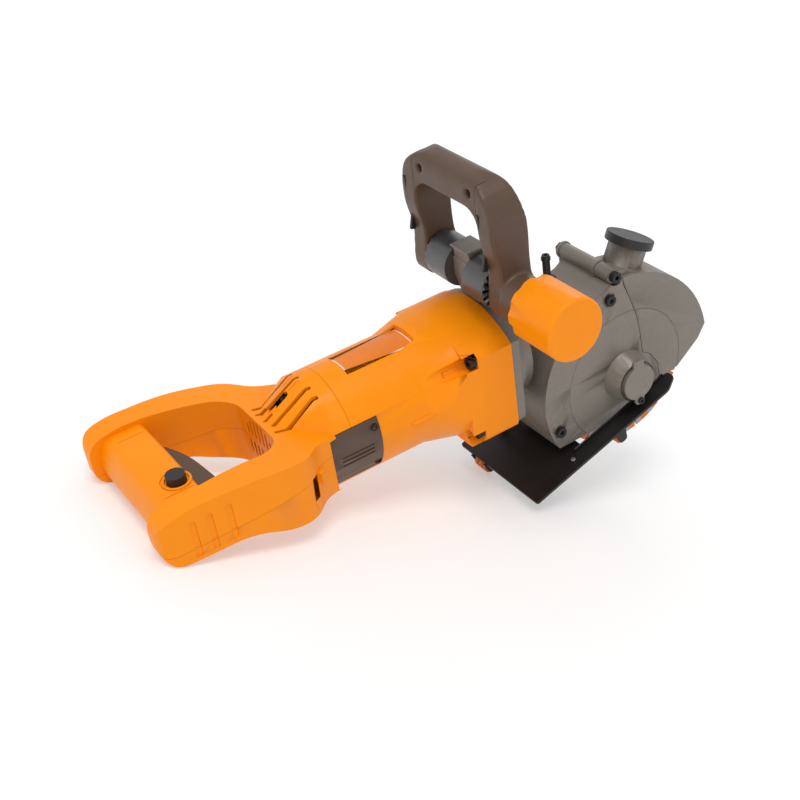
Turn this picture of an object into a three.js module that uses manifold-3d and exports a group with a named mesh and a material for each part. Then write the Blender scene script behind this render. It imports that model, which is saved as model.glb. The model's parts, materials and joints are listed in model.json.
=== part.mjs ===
// Wall chaser: a hand-held machine that cuts a pair of slots with a stack of five parallel diamond discs.
//
// The tool frame has +X forward from the rear handle to the discs, +Y left and +Z up from the motor axis.
// Its origin is on the motor axis at the front face of the motor flange. The exported group turns the
// tool into its put-down pose, nose up, resting on the rear handle and the rear roller: +X forward along
// the floor, +Y left, +Z up from the floor, with the origin at the bottom centre of the whole machine.
import * as THREE from "three";
import { mergeVertices } from "three/addons/utils/BufferGeometryUtils.js";
import Module from "manifold-3d";

// ---- Clearances, mm ----
const GAP = 0.3; // between pieces that are fixed to each other
const RUN = 0.6; // between pieces that move past each other
const OVER = 1; // how far a cutter runs past what it cuts
const ROUND = 28; // sides of a large round
const SMALL_ROUND = 12; // sides of a small round

// ---- Driving dimensions, mm and degrees ----
const BARREL_RADIUS = 50;
const BARREL_WALL = 3.2;
const BARREL_REAR = -152;
const FLANGE_LENGTH = 46;
const FLANGE_HALF_WIDTH = 55;
const FLANGE_BOTTOM = -53;
const FLANGE_TOP = 54.5;
const FLANGE_TOP_RADIUS = 81.5;
const FLANGE_CORNER = 10;
const FLANGE_SCREW_RADIUS = 2.5;
const FLANGE_HEAD_RADIUS = 5;
const FLANGE_HEAD_LENGTH = 6;
const FLANGE_SEAT = -34; // where the screw heads bear
const FLANGE_POCKET = 6.6; // radius of the way cut for a screw and its key

const STATOR_RADIUS = BARREL_RADIUS - 5.5;
const STATOR_BORE = 27;
const STATOR_LENGTH = 62;
const STATOR_REAR = -118;
const ARMATURE_RADIUS = 26;
const ARMATURE_SLOTS = 12;
const SHAFT_RADIUS = 6;
const PINION_SHAFT_RADIUS = 3.4;
const SHAFT_REAR = -176;
const FAN_RADIUS = BARREL_RADIUS - 8;
const FAN_BLADES = 11;
const COMMUTATOR_RADIUS = 15;
const COMMUTATOR_REAR = -152;
const COMMUTATOR_LENGTH = 20;
const BRUSH_SIZE = 7;
const BEARING_WIDTH = 9;
const BEARING_RADIUS = 13;

const HANDLE_LENGTH = 122; // from the rear of the motor to the rear of the grip
const HANDLE_HALF_WIDTH = 78;
const ARM_THICKNESS = 22;
const GRIP_SET_IN = 8; // from the ends of the arms to the rear of the grip
const GRIP_WIDTH = 42;
const HANDLE_WALL = 3;
const HANDLE_PARTING = 7; // height of the joint between the two halves
const REAR_DOME_LENGTH = 60;
const COVER_LENGTH = 46;
const COVER_BOTTOM = -30;
const COVER_TOP = 20;
const COVER_THICKNESS = 3;
const TRIGGER_REACH = 20;
const TRIGGER_THICKNESS = 20;
const BUTTON_RADIUS = 8;
const BUTTON_RISE = 4;

const CASE_WALL = 3;
const CASE_PLATE = 9; // thickness of the case's rear plate
const NECK_RADIUS = BARREL_RADIUS - 3;
const NECK_FRONT = 26;
const CASE_RIGHT = -12; // right wall of the gear case
const CASE_LEFT = 43; // joint of the case with its cover
const LID_THICKNESS = 4;

const INTERMEDIATE_X = 52; // intermediate shaft, level with the motor axis
const SPINDLE_X = 116;
const SPINDLE_Z = -51;
const SPINDLE_RADIUS = 8;
const BEVEL_TEETH = 28;
const PINION_TEETH = 10;
const BEVEL_RADIUS = 20; // pitch radius at the large end
const BEVEL_FACE = 0.3; // share of the cone that carries teeth
const BEVEL_PLAY = 0.8; // how far each bevel gear stands back from a tight mesh
const SPUR_PINION_TEETH = 18;
const IDLER_TEETH = 24;
const SPUR_TEETH = 22;
const SPUR_WIDTH = 10;
const SPUR_RIGHT = 22; // right face of the spur gears
const INTERMEDIATE_RADIUS = 5;
const IDLER_PIN_RADIUS = 5;

const DISC_RADIUS = 70;
const DISC_THICKNESS = 2.4;
const DISC_COUNT = 5;
const DISC_PITCH = 6.5;
const FIRST_DISC = -50; // middle of the outermost disc
const DISC_SEGMENTS = 14;
const CLAMP_RADIUS = 20;

const GUARD_RIGHT = -58;
const GUARD_WALL = 3;
const GUARD_RADIUS = 104.5; // outer radius over the top and front
const GUARD_CENTRE_X = 108.6;
const GUARD_CENTRE_Z = -56.7;
const GUARD_REAR_RADIUS = 90;
const GUARD_BOTTOM = -94;
const SHOULDER_LEFT = 9; // left face of the guard's shoulder over the gear case
const HINGE_X = 111;
const HINGE_Z = 50;
const HINGE_RADIUS = 7;
const HINGE_BOLT_RADIUS = 3;
const HINGE_LEFT = 14;
const HUB_RADIUS = 24;
const HUB_END = -74;
const CAP_RADIUS = 17;
const CAP_THICKNESS = 3;
const PORT_RADIUS = 17.5;
const PORT_TILT = 26; // of the dust port, forward from upright
const PORT_HEIGHT = 132.4; // along the port from its foot point to its rim
const PORT_BACK = 17; // foot point of the port, behind the guard's centre
const PORT_Y = -31;
const PORT_CAP_RADIUS = 21.5;
const PORT_CAP_DEPTH = 8;

const PLATE_PIVOT_X = 150;
const PLATE_PIVOT_Z = -66;
const PLATE_PITCH = 17; // nose up, from the motor axis
const PLATE_DROP = 5.2; // from the pivot to the top of the plate
const PLATE_THICKNESS = 2.5;
const PLATE_REAR = 164.7; // from the pivot back to the rear edge
const PLATE_FRONT = 10; // from the pivot forward
const PLATE_RIGHT = -79;
const PLATE_LEFT = 37;
const PLATE_SLOT_REAR = 96; // from the pivot back to the rear of the slot
const PLATE_SLOT_RIGHT = -62;
const PLATE_SLOT_LEFT = -6;
const ROLLER_RADIUS = 6.6;
const ROLLER_DROP = 7.4; // from the underside of the plate to the middle of a roller
const REAR_ROLLER_LENGTH = 16;
const FRONT_ROLLER_LENGTH = 8.8;
const ROLLER_PIN_RADIUS = 2;
const CHEEK = 2; // thickness of the cheeks that hold a roller
const PIVOT_RADIUS = 2.5;
const PIVOT_EAR = 6; // right face of the plate's ear
const LUG_RIGHT = -4;
const ARM_Y = 24; // right face of the depth arm

const HANDLE_AXIS_X = 6;
const HANDLE_AXIS_Z = 80;
const FRONT_HALF_WIDTH = 64;
const FRONT_HEIGHT = 101; // from the tilt axis to the top of the grip
const FRONT_DEPTH = 27;
const LEG_THICKNESS = 20;
const GRIP_HEIGHT = 25; // of the front handle's top bar
const HUB_SLEEVE_RADIUS = 20;
const BRACKET_HALF_WIDTH = 12;
const TOOTH_RING_WIDTH = 12;
const RING_TEETH = 18;
const FRONT_TILT_BACK = 3;
const BOLT_RADIUS = 4;
const KNOB_RADIUS = 27;
const KNOB_LENGTH = 52;
const HUB_BOSS = 18; // how far the right hub stands out of its leg
const KNOB_LOBES = 8;

// ---- Finishes ----
const finish = (color, roughness, metalness) => () =>
  new THREE.MeshStandardMaterial({ color, roughness, metalness });
const ORANGE = finish(0xf08a0c, 0.45, 0);
const DARK_PLASTIC = finish(0x4d3a33, 0.55, 0);
const BLACK_PLASTIC = finish(0x1c1a1a, 0.5, 0);
const GREY_CASTING = finish(0x76706b, 0.45, 0.6);
const STEEL = finish(0xa9a9ac, 0.35, 0.9);
const BLACK_STEEL = finish(0x1f1c1b, 0.4, 0.6);
const COPPER = finish(0xb8693c, 0.35, 0.9);
const LAMINATION = finish(0x5b5d61, 0.5, 0.7);
const CARBON = finish(0x2b2b2d, 0.8, 0);
const DISC_ORANGE = finish(0xd9731c, 0.5, 0.2);

// ---- Solids ----
const wasm = await Module();
wasm.setup();

/** A closed three.js geometry as a solid that can be joined and cut. */
function solidOf(geometry) {
  const bare = geometry.index ? geometry.toNonIndexed() : geometry.clone();
  bare.deleteAttribute("normal");
  bare.deleteAttribute("uv");
  const merged = mergeVertices(bare, 1e-4);
  const mesh = new wasm.Mesh({
    numProp: 3,
    vertProperties: new Float32Array(merged.attributes.position.array),
    triVerts: new Uint32Array(merged.index.array),
  });
  return new wasm.Manifold(mesh);
}

/** The solid's surface as a three.js geometry. */
function geometryOf(solid) {
  const mesh = solid.getMesh();
  const geometry = new THREE.BufferGeometry();
  geometry.setAttribute("position", new THREE.BufferAttribute(new Float32Array(mesh.vertProperties), 3));
  geometry.setIndex(new THREE.BufferAttribute(new Uint32Array(mesh.triVerts), 1));
  geometry.computeVertexNormals();
  return geometry;
}

const joined = (...solids) => solids.reduce((whole, solid) => whole.add(solid));
const cut = (whole, ...cutters) => cutters.reduce((left, cutter) => left.subtract(cutter), whole);

/** A box between two corners. */
function block([x0, y0, z0], [x1, y1, z1]) {
  const geometry = new THREE.BoxGeometry(x1 - x0, y1 - y0, z1 - z0);
  geometry.translate((x0 + x1) / 2, (y0 + y1) / 2, (z0 + z1) / 2);
  return solidOf(geometry);
}

/** A round bar along X, from one x to another. */
function barX(radius, from, to, y = 0, z = 0, sides = SMALL_ROUND) {
  const geometry = new THREE.CylinderGeometry(radius, radius, to - from, sides);
  geometry.rotateZ(-Math.PI / 2);
  geometry.translate((from + to) / 2, y, z);
  return solidOf(geometry);
}

/** A round bar along Y. */
function barY(radius, from, to, x = 0, z = 0, sides = SMALL_ROUND) {
  const geometry = new THREE.CylinderGeometry(radius, radius, to - from, sides);
  geometry.translate(x, (from + to) / 2, z);
  return solidOf(geometry);
}

/** A round bar along Z. */
function barZ(radius, from, to, x = 0, y = 0, sides = SMALL_ROUND) {
  const geometry = new THREE.CylinderGeometry(radius, radius, to - from, sides);
  geometry.rotateX(Math.PI / 2);
  geometry.translate(x, y, (from + to) / 2);
  return solidOf(geometry);
}

/** A body turned round the X axis, from a profile of [x, radius] points that starts and ends on the axis. */
function turnedX(profile, sides = ROUND) {
  const points = profile.map(([x, radius]) => new THREE.Vector2(radius, x));
  const geometry = new THREE.LatheGeometry(points, sides);
  geometry.rotateZ(-Math.PI / 2);
  const solid = solidOf(geometry);
  return solid;
}

const extrusion = (shape, depth, curveSegments) =>
  new THREE.ExtrudeGeometry(shape, { depth, bevelEnabled: false, curveSegments });

/** An outline in x and z, made solid between two values of y. */
function slabY(shape, from, to, curveSegments = 6) {
  const geometry = extrusion(shape, to - from, curveSegments);
  geometry.rotateX(Math.PI / 2);
  geometry.translate(0, to, 0);
  return solidOf(geometry);
}

/** An outline in x and y, made solid between two values of z. */
function slabZ(shape, from, to, curveSegments = 6) {
  const geometry = extrusion(shape, to - from, curveSegments);
  geometry.translate(0, 0, from);
  return solidOf(geometry);
}

/** An outline in y and z, made solid between two values of x. */
function slabX(shape, from, to, curveSegments = 6) {
  const geometry = extrusion(shape, to - from, curveSegments);
  geometry.rotateX(Math.PI / 2);
  geometry.rotateZ(Math.PI / 2);
  geometry.translate(from, 0, 0);
  return solidOf(geometry);
}

/** A closed outline through the given corners. */
const outline = (...corners) => new THREE.Shape(corners.map(([a, b]) => new THREE.Vector2(a, b)));

/** A closed outline through corners of [a, b, radius], each rounded to its radius. */
function rounded(...corners) {
  const shape = new THREE.Shape();
  corners.forEach(([a, b, radius = 0], i) => {
    const corner = new THREE.Vector2(a, b);
    const before = new THREE.Vector2(...corners.at(i - 1));
    const after = new THREE.Vector2(...corners[(i + 1) % corners.length]);
    const toBefore = before.sub(corner);
    const toAfter = after.sub(corner);
    const reach = Math.min(radius, toBefore.length() / 2, toAfter.length() / 2);
    const start = corner.clone().add(toBefore.setLength(reach));
    const end = corner.clone().add(toAfter.setLength(reach));
    if (i === 0) shape.moveTo(start.x, start.y);
    else shape.lineTo(start.x, start.y);
    if (reach > 0) shape.quadraticCurveTo(corner.x, corner.y, end.x, end.y);
  });
  shape.closePath();
  return shape;
}

/** A full circle as an outline. */
function disk(x, y, radius) {
  const shape = new THREE.Shape();
  shape.absarc(x, y, radius, 0, 2 * Math.PI);
  return shape;
}

const rad = THREE.MathUtils.degToRad;

// ---- The assembly ----
const tool = new THREE.Group();

/** Adds a named piece to a group and returns its mesh. */
function piece(name, solid, material, parent = tool) {
  const mesh = new THREE.Mesh(geometryOf(solid), material());
  mesh.name = name;
  parent.add(mesh);
  return mesh;
}

/** A group of pieces placed in its parent. */
function groupAt(x, y, z, parent = tool) {
  const group = new THREE.Group();
  group.position.set(x, y, z);
  parent.add(group);
  return group;
}

// ---- Motor housing ----
/** The flange's outline in y and z, drawn in by inset. */
function flangeOutline(inset = 0) {
  const half = FLANGE_HALF_WIDTH - inset;
  const bottom = FLANGE_BOTTOM + inset;
  const radius = FLANGE_TOP_RADIUS - inset;
  const centre = FLANGE_TOP - FLANGE_TOP_RADIUS;
  const lean = Math.asin(half / radius);
  const shape = new THREE.Shape();
  shape.moveTo(half - FLANGE_CORNER, bottom);
  shape.quadraticCurveTo(half, bottom, half, bottom + FLANGE_CORNER);
  shape.lineTo(half, centre + radius * Math.cos(lean));
  shape.absarc(0, centre, radius, Math.PI / 2 - lean, Math.PI / 2 + lean, false);
  shape.lineTo(-half, bottom + FLANGE_CORNER);
  shape.quadraticCurveTo(-half, bottom, -half + FLANGE_CORNER, bottom);
  shape.closePath();
  return shape;
}

const screwY = FLANGE_HALF_WIDTH - FLANGE_HEAD_RADIUS - 1;
const FLANGE_SCREWS = [
  [-screwY, 34 - FLANGE_HEAD_RADIUS],
  [screwY, 34 - FLANGE_HEAD_RADIUS],
  [-screwY, FLANGE_BOTTOM + 11],
  [screwY, FLANGE_BOTTOM + 11],
];

/** The seat of a brush cover, as a block that reaches in past the barrel's wall. */
function coverSeat(side, clearance) {
  const front = BARREL_REAR + COVER_LENGTH / 2 + clearance;
  const rear = BARREL_REAR - COVER_LENGTH / 2 - clearance;
  const near = side < 0 ? -FLANGE_HALF_WIDTH - OVER : 0;
  const far = side < 0 ? 0 : FLANGE_HALF_WIDTH + OVER;
  return block([rear, near, COVER_BOTTOM - clearance], [front, far, COVER_TOP + clearance]);
}

/** What a brush cover takes out of the shells that carry it. */
function coverPocket(side) {
  const skin = BARREL_RADIUS - COVER_THICKNESS;
  const ring = cut(
    barX(BARREL_RADIUS + 8, BARREL_REAR - COVER_LENGTH, BARREL_REAR + COVER_LENGTH, 0, 0, ROUND),
    barX(skin - GAP, BARREL_REAR - COVER_LENGTH - OVER, BARREL_REAR + COVER_LENGTH + OVER, 0, 0, ROUND),
  );
  const port = block(
    [BRUSH_X - BRUSH_SIZE, side < 0 ? -BARREL_RADIUS : 0, -BRUSH_SIZE],
    [BRUSH_X + BRUSH_SIZE, side < 0 ? 0 : BARREL_RADIUS, BRUSH_SIZE],
  );
  return joined(ring.intersect(coverSeat(side, GAP)), port);
}

const BRUSH_X = COMMUTATOR_REAR + COMMUTATOR_LENGTH / 2;

function makeMotorHousing() {
  const barrel = barX(BARREL_RADIUS, BARREL_REAR, -FLANGE_LENGTH + OVER, 0, 0, ROUND);
  const shoulder = turnedX(
    [
      [-FLANGE_LENGTH - 40, 0],
      [-FLANGE_LENGTH - 40, BARREL_RADIUS - OVER],
      [-FLANGE_LENGTH, FLANGE_HALF_WIDTH + 4],
      [-FLANGE_LENGTH + OVER, FLANGE_HALF_WIDTH + 4],
      [-FLANGE_LENGTH + OVER, 0],
    ],
    ROUND,
  ).intersect(slabX(flangeOutline(), -FLANGE_LENGTH - 50, 0));
  const flange = slabX(flangeOutline(), -FLANGE_LENGTH, 0);
  const bore = barX(BARREL_RADIUS - BARREL_WALL, BARREL_REAR - OVER, -FLANGE_LENGTH / 2, 0, 0, ROUND);
  const mouth = barX(BARREL_RADIUS - BARREL_WALL - 5, -FLANGE_LENGTH, OVER, 0, 0, ROUND);
  const screwHoles = FLANGE_SCREWS.map(([y, z]) => {
    const shank = barX(FLANGE_SCREW_RADIUS + GAP, -FLANGE_LENGTH, OVER, y, z);
    const from = -FLANGE_LENGTH - 34;
    const way = barX(FLANGE_POCKET, from, FLANGE_SEAT, y, z, 2 * SMALL_ROUND);
    const share = FLANGE_POCKET / Math.hypot(y, z);
    const corner = (out, across) => [
      y + (out * y - across * z) * share,
      z + (out * z + across * y) * share,
    ];
    const open = slabX(
      outline(corner(0, -1), corner(3, -1), corner(3, 1), corner(0, 1)),
      from,
      FLANGE_SEAT,
    );
    return joined(shank, way, open);
  });
  const seats = [coverPocket(-1), coverPocket(1)];
  return cut(joined(barrel, shoulder, flange), bore, mouth, ...screwHoles, ...seats);
}

function makeFlangeScrew() {
  const head = barX(FLANGE_HEAD_RADIUS, -FLANGE_HEAD_LENGTH, 0);
  const shank = barX(FLANGE_SCREW_RADIUS, -OVER, CASE_PLATE - FLANGE_SEAT - 2);
  const socket = new THREE.CylinderGeometry(2.6, 2.6, 4, 6);
  socket.rotateZ(-Math.PI / 2);
  socket.translate(-FLANGE_HEAD_LENGTH, 0, 0);
  return cut(joined(head, shank), solidOf(socket));
}

function makeBrushCover(side) {
  const ring = cut(
    barX(BARREL_RADIUS + 0.6, BARREL_REAR - COVER_LENGTH, BARREL_REAR + COVER_LENGTH, 0, 0, ROUND),
    barX(
      BARREL_RADIUS - COVER_THICKNESS,
      BARREL_REAR - COVER_LENGTH - OVER,
      BARREL_REAR + COVER_LENGTH + OVER,
      0,
      0,
      ROUND,
    ),
  );
  return ring.intersect(coverSeat(side, 0));
}

// ---- Motor ----
function makeStator() {
  const rear = STATOR_REAR;
  const front = STATOR_REAR + STATOR_LENGTH;
  const core = barX(STATOR_RADIUS, rear, front, 0, 0, ROUND);
  const coils = barX(STATOR_RADIUS - 7, rear - 10, front + 10, 0, 0, ROUND);
  const bore = barX(STATOR_BORE, rear - 11, front + 11, 0, 0, ROUND);
  const sideSlots = [-1, 1].map((side) =>
    block([rear - 11, side < 0 ? -STATOR_RADIUS : 20, -4], [rear + 3, side < 0 ? -20 : STATOR_RADIUS, 4]),
  );
  return cut(joined(core, coils), bore, ...sideSlots);
}

function makeArmatureCore() {
  const shape = new THREE.Shape();
  const pitch = (2 * Math.PI) / ARMATURE_SLOTS;
  for (let i = 0; i < ARMATURE_SLOTS; i += 1) {
    const at = (share, radius) => {
      const angle = (i + share) * pitch;
      return [radius * Math.cos(angle), radius * Math.sin(angle)];
    };
    const points = [0, 0.4, 0.8].map((share) => at(share, ARMATURE_RADIUS));
    const slot = [0.83, 0.97].map((share) => at(share, ARMATURE_RADIUS - 8));
    [...points, ...slot].forEach(([a, b], k) => {
      if (i === 0 && k === 0) shape.moveTo(a, b);
      else shape.lineTo(a, b);
    });
  }
  shape.closePath();
  const core = slabX(shape, STATOR_REAR + 4, STATOR_REAR + STATOR_LENGTH - 4);
  const coils = barX(ARMATURE_RADIUS - 9, STATOR_REAR - 6, STATOR_REAR + STATOR_LENGTH + 6);
  const bore = barX(SHAFT_RADIUS + GAP, STATOR_REAR - 20, STATOR_REAR + STATOR_LENGTH + 20);
  return cut(joined(core, coils), bore);
}

const PINION_BACK = INTERMEDIATE_X - BEVEL_RADIUS; // large end of the pinion
const PINION_RADIUS = (BEVEL_RADIUS * PINION_TEETH) / BEVEL_TEETH;
const FRONT_BEARING_X = -4 - BEARING_WIDTH;

function makeArmatureShaft() {
  const shoulder = FRONT_BEARING_X + BEARING_WIDTH + 2;
  return turnedX(
    [
      [SHAFT_REAR, 0],
      [SHAFT_REAR, SHAFT_RADIUS],
      [shoulder, SHAFT_RADIUS],
      [shoulder, PINION_SHAFT_RADIUS],
      [PINION_BACK + BEVEL_RADIUS * BEVEL_FACE, PINION_SHAFT_RADIUS],
      [PINION_BACK + BEVEL_RADIUS * BEVEL_FACE, 0],
    ],
    24,
  );
}

function makeCommutator() {
  const front = COMMUTATOR_REAR + COMMUTATOR_LENGTH;
  const body = joined(
    barX(COMMUTATOR_RADIUS, COMMUTATOR_REAR, front),
    barX(COMMUTATOR_RADIUS + 3, front - 3, front),
  );
  return cut(body, barX(SHAFT_RADIUS + GAP, COMMUTATOR_REAR - OVER, front + OVER));
}

const FAN_REAR = -40;

function makeFan() {
  const hub = barX(SHAFT_RADIUS + 5, FAN_REAR, FAN_REAR + 14);
  const disc = barX(FAN_RADIUS, FAN_REAR, FAN_REAR + 2.5, 0, 0, ROUND);
  const blades = Array.from({ length: FAN_BLADES }, (_, i) => {
    const geometry = new THREE.BoxGeometry(12, 1.6, FAN_RADIUS - 16);
    geometry.translate(FAN_REAR + 2 + 6, 0, (FAN_RADIUS + 16) / 2 - OVER);
    geometry.rotateX((i * 2 * Math.PI) / FAN_BLADES);
    return solidOf(geometry);
  });
  const bore = barX(SHAFT_RADIUS + GAP, FAN_REAR - OVER, FAN_REAR + 15);
  return cut(joined(hub, disc, ...blades), bore);
}

/** A ball bearing as one ring along X, its rear face at x = 0. */
function makeBearing(outer, bore, width, along = "x") {
  const bar = along === "x" ? barX : barY;
  const ring = cut(bar(outer, 0, width), bar(bore, -OVER, width + OVER));
  const groove = cut(
    bar((outer + bore) / 2 + 1.6, width - 1, width + OVER),
    bar((outer + bore) / 2 - 1.6, 0, width + 2 * OVER),
  );
  return cut(ring, groove);
}

// ---- Gears ----
/** A gear's outline with straight-sided teeth; phase is the angle of the middle of one tooth. */
function gearOutline(teeth, radius, phase) {
  const module = (2 * radius) / teeth;
  const tip = radius + 0.8 * module;
  const root = radius - 1.15 * module;
  const pitch = (2 * Math.PI) / teeth;
  const shape = new THREE.Shape();
  for (let i = 0; i < teeth; i += 1) {
    const middle = phase + i * pitch;
    const points = [
      [-0.36, root],
      [-0.1, tip],
      [0.1, tip],
      [0.36, root],
    ];
    points.forEach(([share, r], k) => {
      const a = middle + share * pitch;
      if (i === 0 && k === 0) shape.moveTo(r * Math.cos(a), r * Math.sin(a));
      else shape.lineTo(r * Math.cos(a), r * Math.sin(a));
    });
  }
  shape.closePath();
  return shape;
}

/** A gear along Y between two values of y, centred on x = z = 0. */
function spurGear(teeth, radius, phase, from, to, bore) {
  return cut(slabY(gearOutline(teeth, radius, phase), from, to), barY(bore, from - OVER, to + OVER));
}

/** A bevel gear's toothed part along +Z: its large end at z = 0, narrowing towards the apex at z = apex. */
function bevelTeeth(teeth, radius, phase, apex) {
  const depth = apex * BEVEL_FACE;
  const geometry = extrusion(gearOutline(teeth, radius, phase), depth);
  const at = geometry.attributes.position;
  for (let i = 0; i < at.count; i += 1) {
    const share = (apex - at.getZ(i)) / apex;
    at.setX(i, at.getX(i) * share);
    at.setY(i, at.getY(i) * share);
  }
  return geometry;
}

function makeBevelPinion() {
  const teeth = bevelTeeth(PINION_TEETH, PINION_RADIUS, Math.PI / PINION_TEETH, BEVEL_RADIUS);
  teeth.rotateX(Math.PI / 2);
  teeth.rotateZ(Math.PI / 2);
  teeth.translate(PINION_BACK - BEVEL_PLAY, 0, 0);
  const hub = barX(PINION_RADIUS - 1.5, PINION_BACK - 8, PINION_BACK + 0.5);
  const bore = barX(PINION_SHAFT_RADIUS + GAP, PINION_BACK - 9, INTERMEDIATE_X);
  return cut(joined(solidOf(teeth), hub), bore);
}

/** The bevel gear, centred on the intermediate shaft: its teeth face the motor axis. */
function makeBevelGear() {
  const teeth = bevelTeeth(BEVEL_TEETH, BEVEL_RADIUS, Math.PI, PINION_RADIUS);
  teeth.rotateX(Math.PI / 2);
  teeth.translate(0, PINION_RADIUS + BEVEL_PLAY, 0);
  const hub = barY(BEVEL_RADIUS - 3, PINION_RADIUS + GAP / 2, PINION_RADIUS + 5);
  const bore = barY(INTERMEDIATE_RADIUS + GAP, -OVER, PINION_RADIUS + 6);
  return cut(joined(solidOf(teeth), hub), bore);
}

/** Centres, pitch radii and tooth phases of the three spur gears, which lie on one straight line. */
function gearTrain() {
  const start = new THREE.Vector2(INTERMEDIATE_X, 0);
  const end = new THREE.Vector2(SPINDLE_X, SPINDLE_Z);
  const line = end.clone().sub(start);
  const module = (2 * line.length()) / (SPUR_PINION_TEETH + 2 * IDLER_TEETH + SPUR_TEETH);
  const radii = [SPUR_PINION_TEETH, IDLER_TEETH, SPUR_TEETH].map((teeth) => (module * teeth) / 2);
  const heading = line.angle();
  const middle = start.clone().add(line.setLength(radii[0] + radii[1]));
  const idlerPitch = (2 * Math.PI) / IDLER_TEETH;
  const idlerPhase = heading + Math.PI + idlerPitch / 2;
  const turns = (heading - idlerPhase) / idlerPitch;
  const lag = (turns - Math.floor(turns)) * idlerPitch;
  const spurPhase = heading + Math.PI + (lag * radii[1]) / radii[2] + Math.PI / SPUR_TEETH;
  return { centres: [start, middle, end], radii, phases: [heading, idlerPhase, spurPhase] };
}

// ---- Gear case ----
/** The gear case's outline in x and z, drawn in by inset, around all the gears. */
function caseOutline(inset) {
  const { radii } = gearTrain();
  const rise = 34 - inset;
  const reach = radii[2] + 6 - inset;
  const heading = Math.atan2(SPINDLE_Z, SPINDLE_X - INTERMEDIATE_X);
  const shape = new THREE.Shape();
  shape.moveTo(CASE_PLATE - OVER + inset, -rise);
  shape.lineTo(CASE_PLATE - OVER + inset, rise);
  shape.absarc(INTERMEDIATE_X, 0, rise, Math.PI / 2, heading + Math.PI / 2, true);
  shape.absarc(SPINDLE_X, SPINDLE_Z, reach, heading + Math.PI / 2, heading - Math.PI / 2, true);
  shape.closePath();
  return shape;
}

const bracketBase = { from: HANDLE_AXIS_X - 8, to: HANDLE_AXIS_X + 12 };

function makeGearCase() {
  const { centres } = gearTrain();
  const plate = slabX(flangeOutline(1.5), GAP, CASE_PLATE);
  const box = slabY(caseOutline(0), CASE_RIGHT, CASE_LEFT);
  const hollow = slabY(caseOutline(CASE_WALL), CASE_RIGHT + CASE_WALL, CASE_LEFT + OVER);
  const neckHollow = barX(NECK_RADIUS - 10, CASE_PLATE + 3, NECK_FRONT - 4, 0, 0, ROUND).intersect(
    block([0, -NECK_RADIUS, -NECK_RADIUS], [NECK_FRONT, 0, NECK_RADIUS]),
  );
  const shaftWay = barX(SHAFT_RADIUS + 2, -OVER, CASE_PLATE + CASE_WALL + OVER);
  const spindleWay = barY(
    SPINDLE_RADIUS + 3,
    CASE_RIGHT - OVER,
    CASE_RIGHT + CASE_WALL + OVER,
    SPINDLE_X,
    SPINDLE_Z,
  );
  const screwHoles = FLANGE_SCREWS.map(([y, z]) => barX(
    FLANGE_SCREW_RADIUS + GAP,
    -OVER,
    CASE_PLATE + 4,
    y,
    z,
  ));
  const pin = barY(
    IDLER_PIN_RADIUS,
    CASE_RIGHT + OVER,
    SPUR_RIGHT + SPUR_WIDTH + 4,
    centres[1].x,
    centres[1].y,
  );
  const pocket = barY(
    INTERMEDIATE_RADIUS + 4,
    CASE_RIGHT + OVER,
    CASE_RIGHT + CASE_WALL + 4,
    INTERMEDIATE_X,
    0,
  );
  const pocketBore = barY(INTERMEDIATE_RADIUS + GAP, CASE_RIGHT + 2, CASE_RIGHT + 20, INTERMEDIATE_X, 0);
  const lug = pivotLug();
  const shell = cut(
    joined(plate, neckForm(0), box, lug),
    hollow,
    neckHollow,
    shaftWay,
    spindleWay,
    ...screwHoles,
  );
  return cut(joined(shell, pin, pocket), pocketBore);
}

/** The stepped round neck between the flange and the gears, drawn out by clearance. */
function neckForm(clearance) {
  const neck = barX(NECK_RADIUS + clearance, CASE_PLATE - OVER, NECK_FRONT + clearance, 0, 0, ROUND);
  const ring = barX(
    NECK_RADIUS + 3.5 + clearance,
    CASE_PLATE - OVER,
    CASE_PLATE + 6 + clearance,
    0,
    0,
    ROUND,
  );
  return joined(ring, neck);
}

/** The lug on the gear case that the base plate turns on. */
function pivotLug() {
  const reach = PLATE_DROP - RUN;
  const arm = slabY(
    outline(
      [SPINDLE_X, SPINDLE_Z - 12],
      [PLATE_PIVOT_X, PLATE_PIVOT_Z - reach],
      [PLATE_PIVOT_X + 1, PLATE_PIVOT_Z + reach],
      [SPINDLE_X, SPINDLE_Z + 12],
    ),
    LUG_RIGHT,
    PIVOT_EAR - RUN,
  );
  const eye = barY(reach, LUG_RIGHT, PIVOT_EAR - RUN, PLATE_PIVOT_X, PLATE_PIVOT_Z);
  const hole = barY(PIVOT_RADIUS + GAP, LUG_RIGHT - OVER, PIVOT_EAR, PLATE_PIVOT_X, PLATE_PIVOT_Z);
  return cut(joined(arm, eye), hole);
}

function makeGearCaseCover() {
  const left = CASE_LEFT + GAP;
  const lid = slabY(caseOutline(0), left, left + LID_THICKNESS);
  const boss = joined(
    barY(SPINDLE_RADIUS + 7, left - OVER, left + LID_THICKNESS + 5, SPINDLE_X, SPINDLE_Z),
    barY(INTERMEDIATE_RADIUS + 5, left + OVER, left + LID_THICKNESS + 3, INTERMEDIATE_X, 0),
  );
  const seats = [
    barY(SPINDLE_RADIUS + GAP, left - 2 * OVER, left + LID_THICKNESS + 2, SPINDLE_X, SPINDLE_Z),
    barY(INTERMEDIATE_RADIUS + GAP, left - OVER, left + LID_THICKNESS, INTERMEDIATE_X, 0),
  ];
  const plate = slabX(flangeOutline(0), 0, CASE_PLATE + GAP);
  return cut(joined(lid, boss), plate, neckForm(GAP), ...seats);
}

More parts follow.
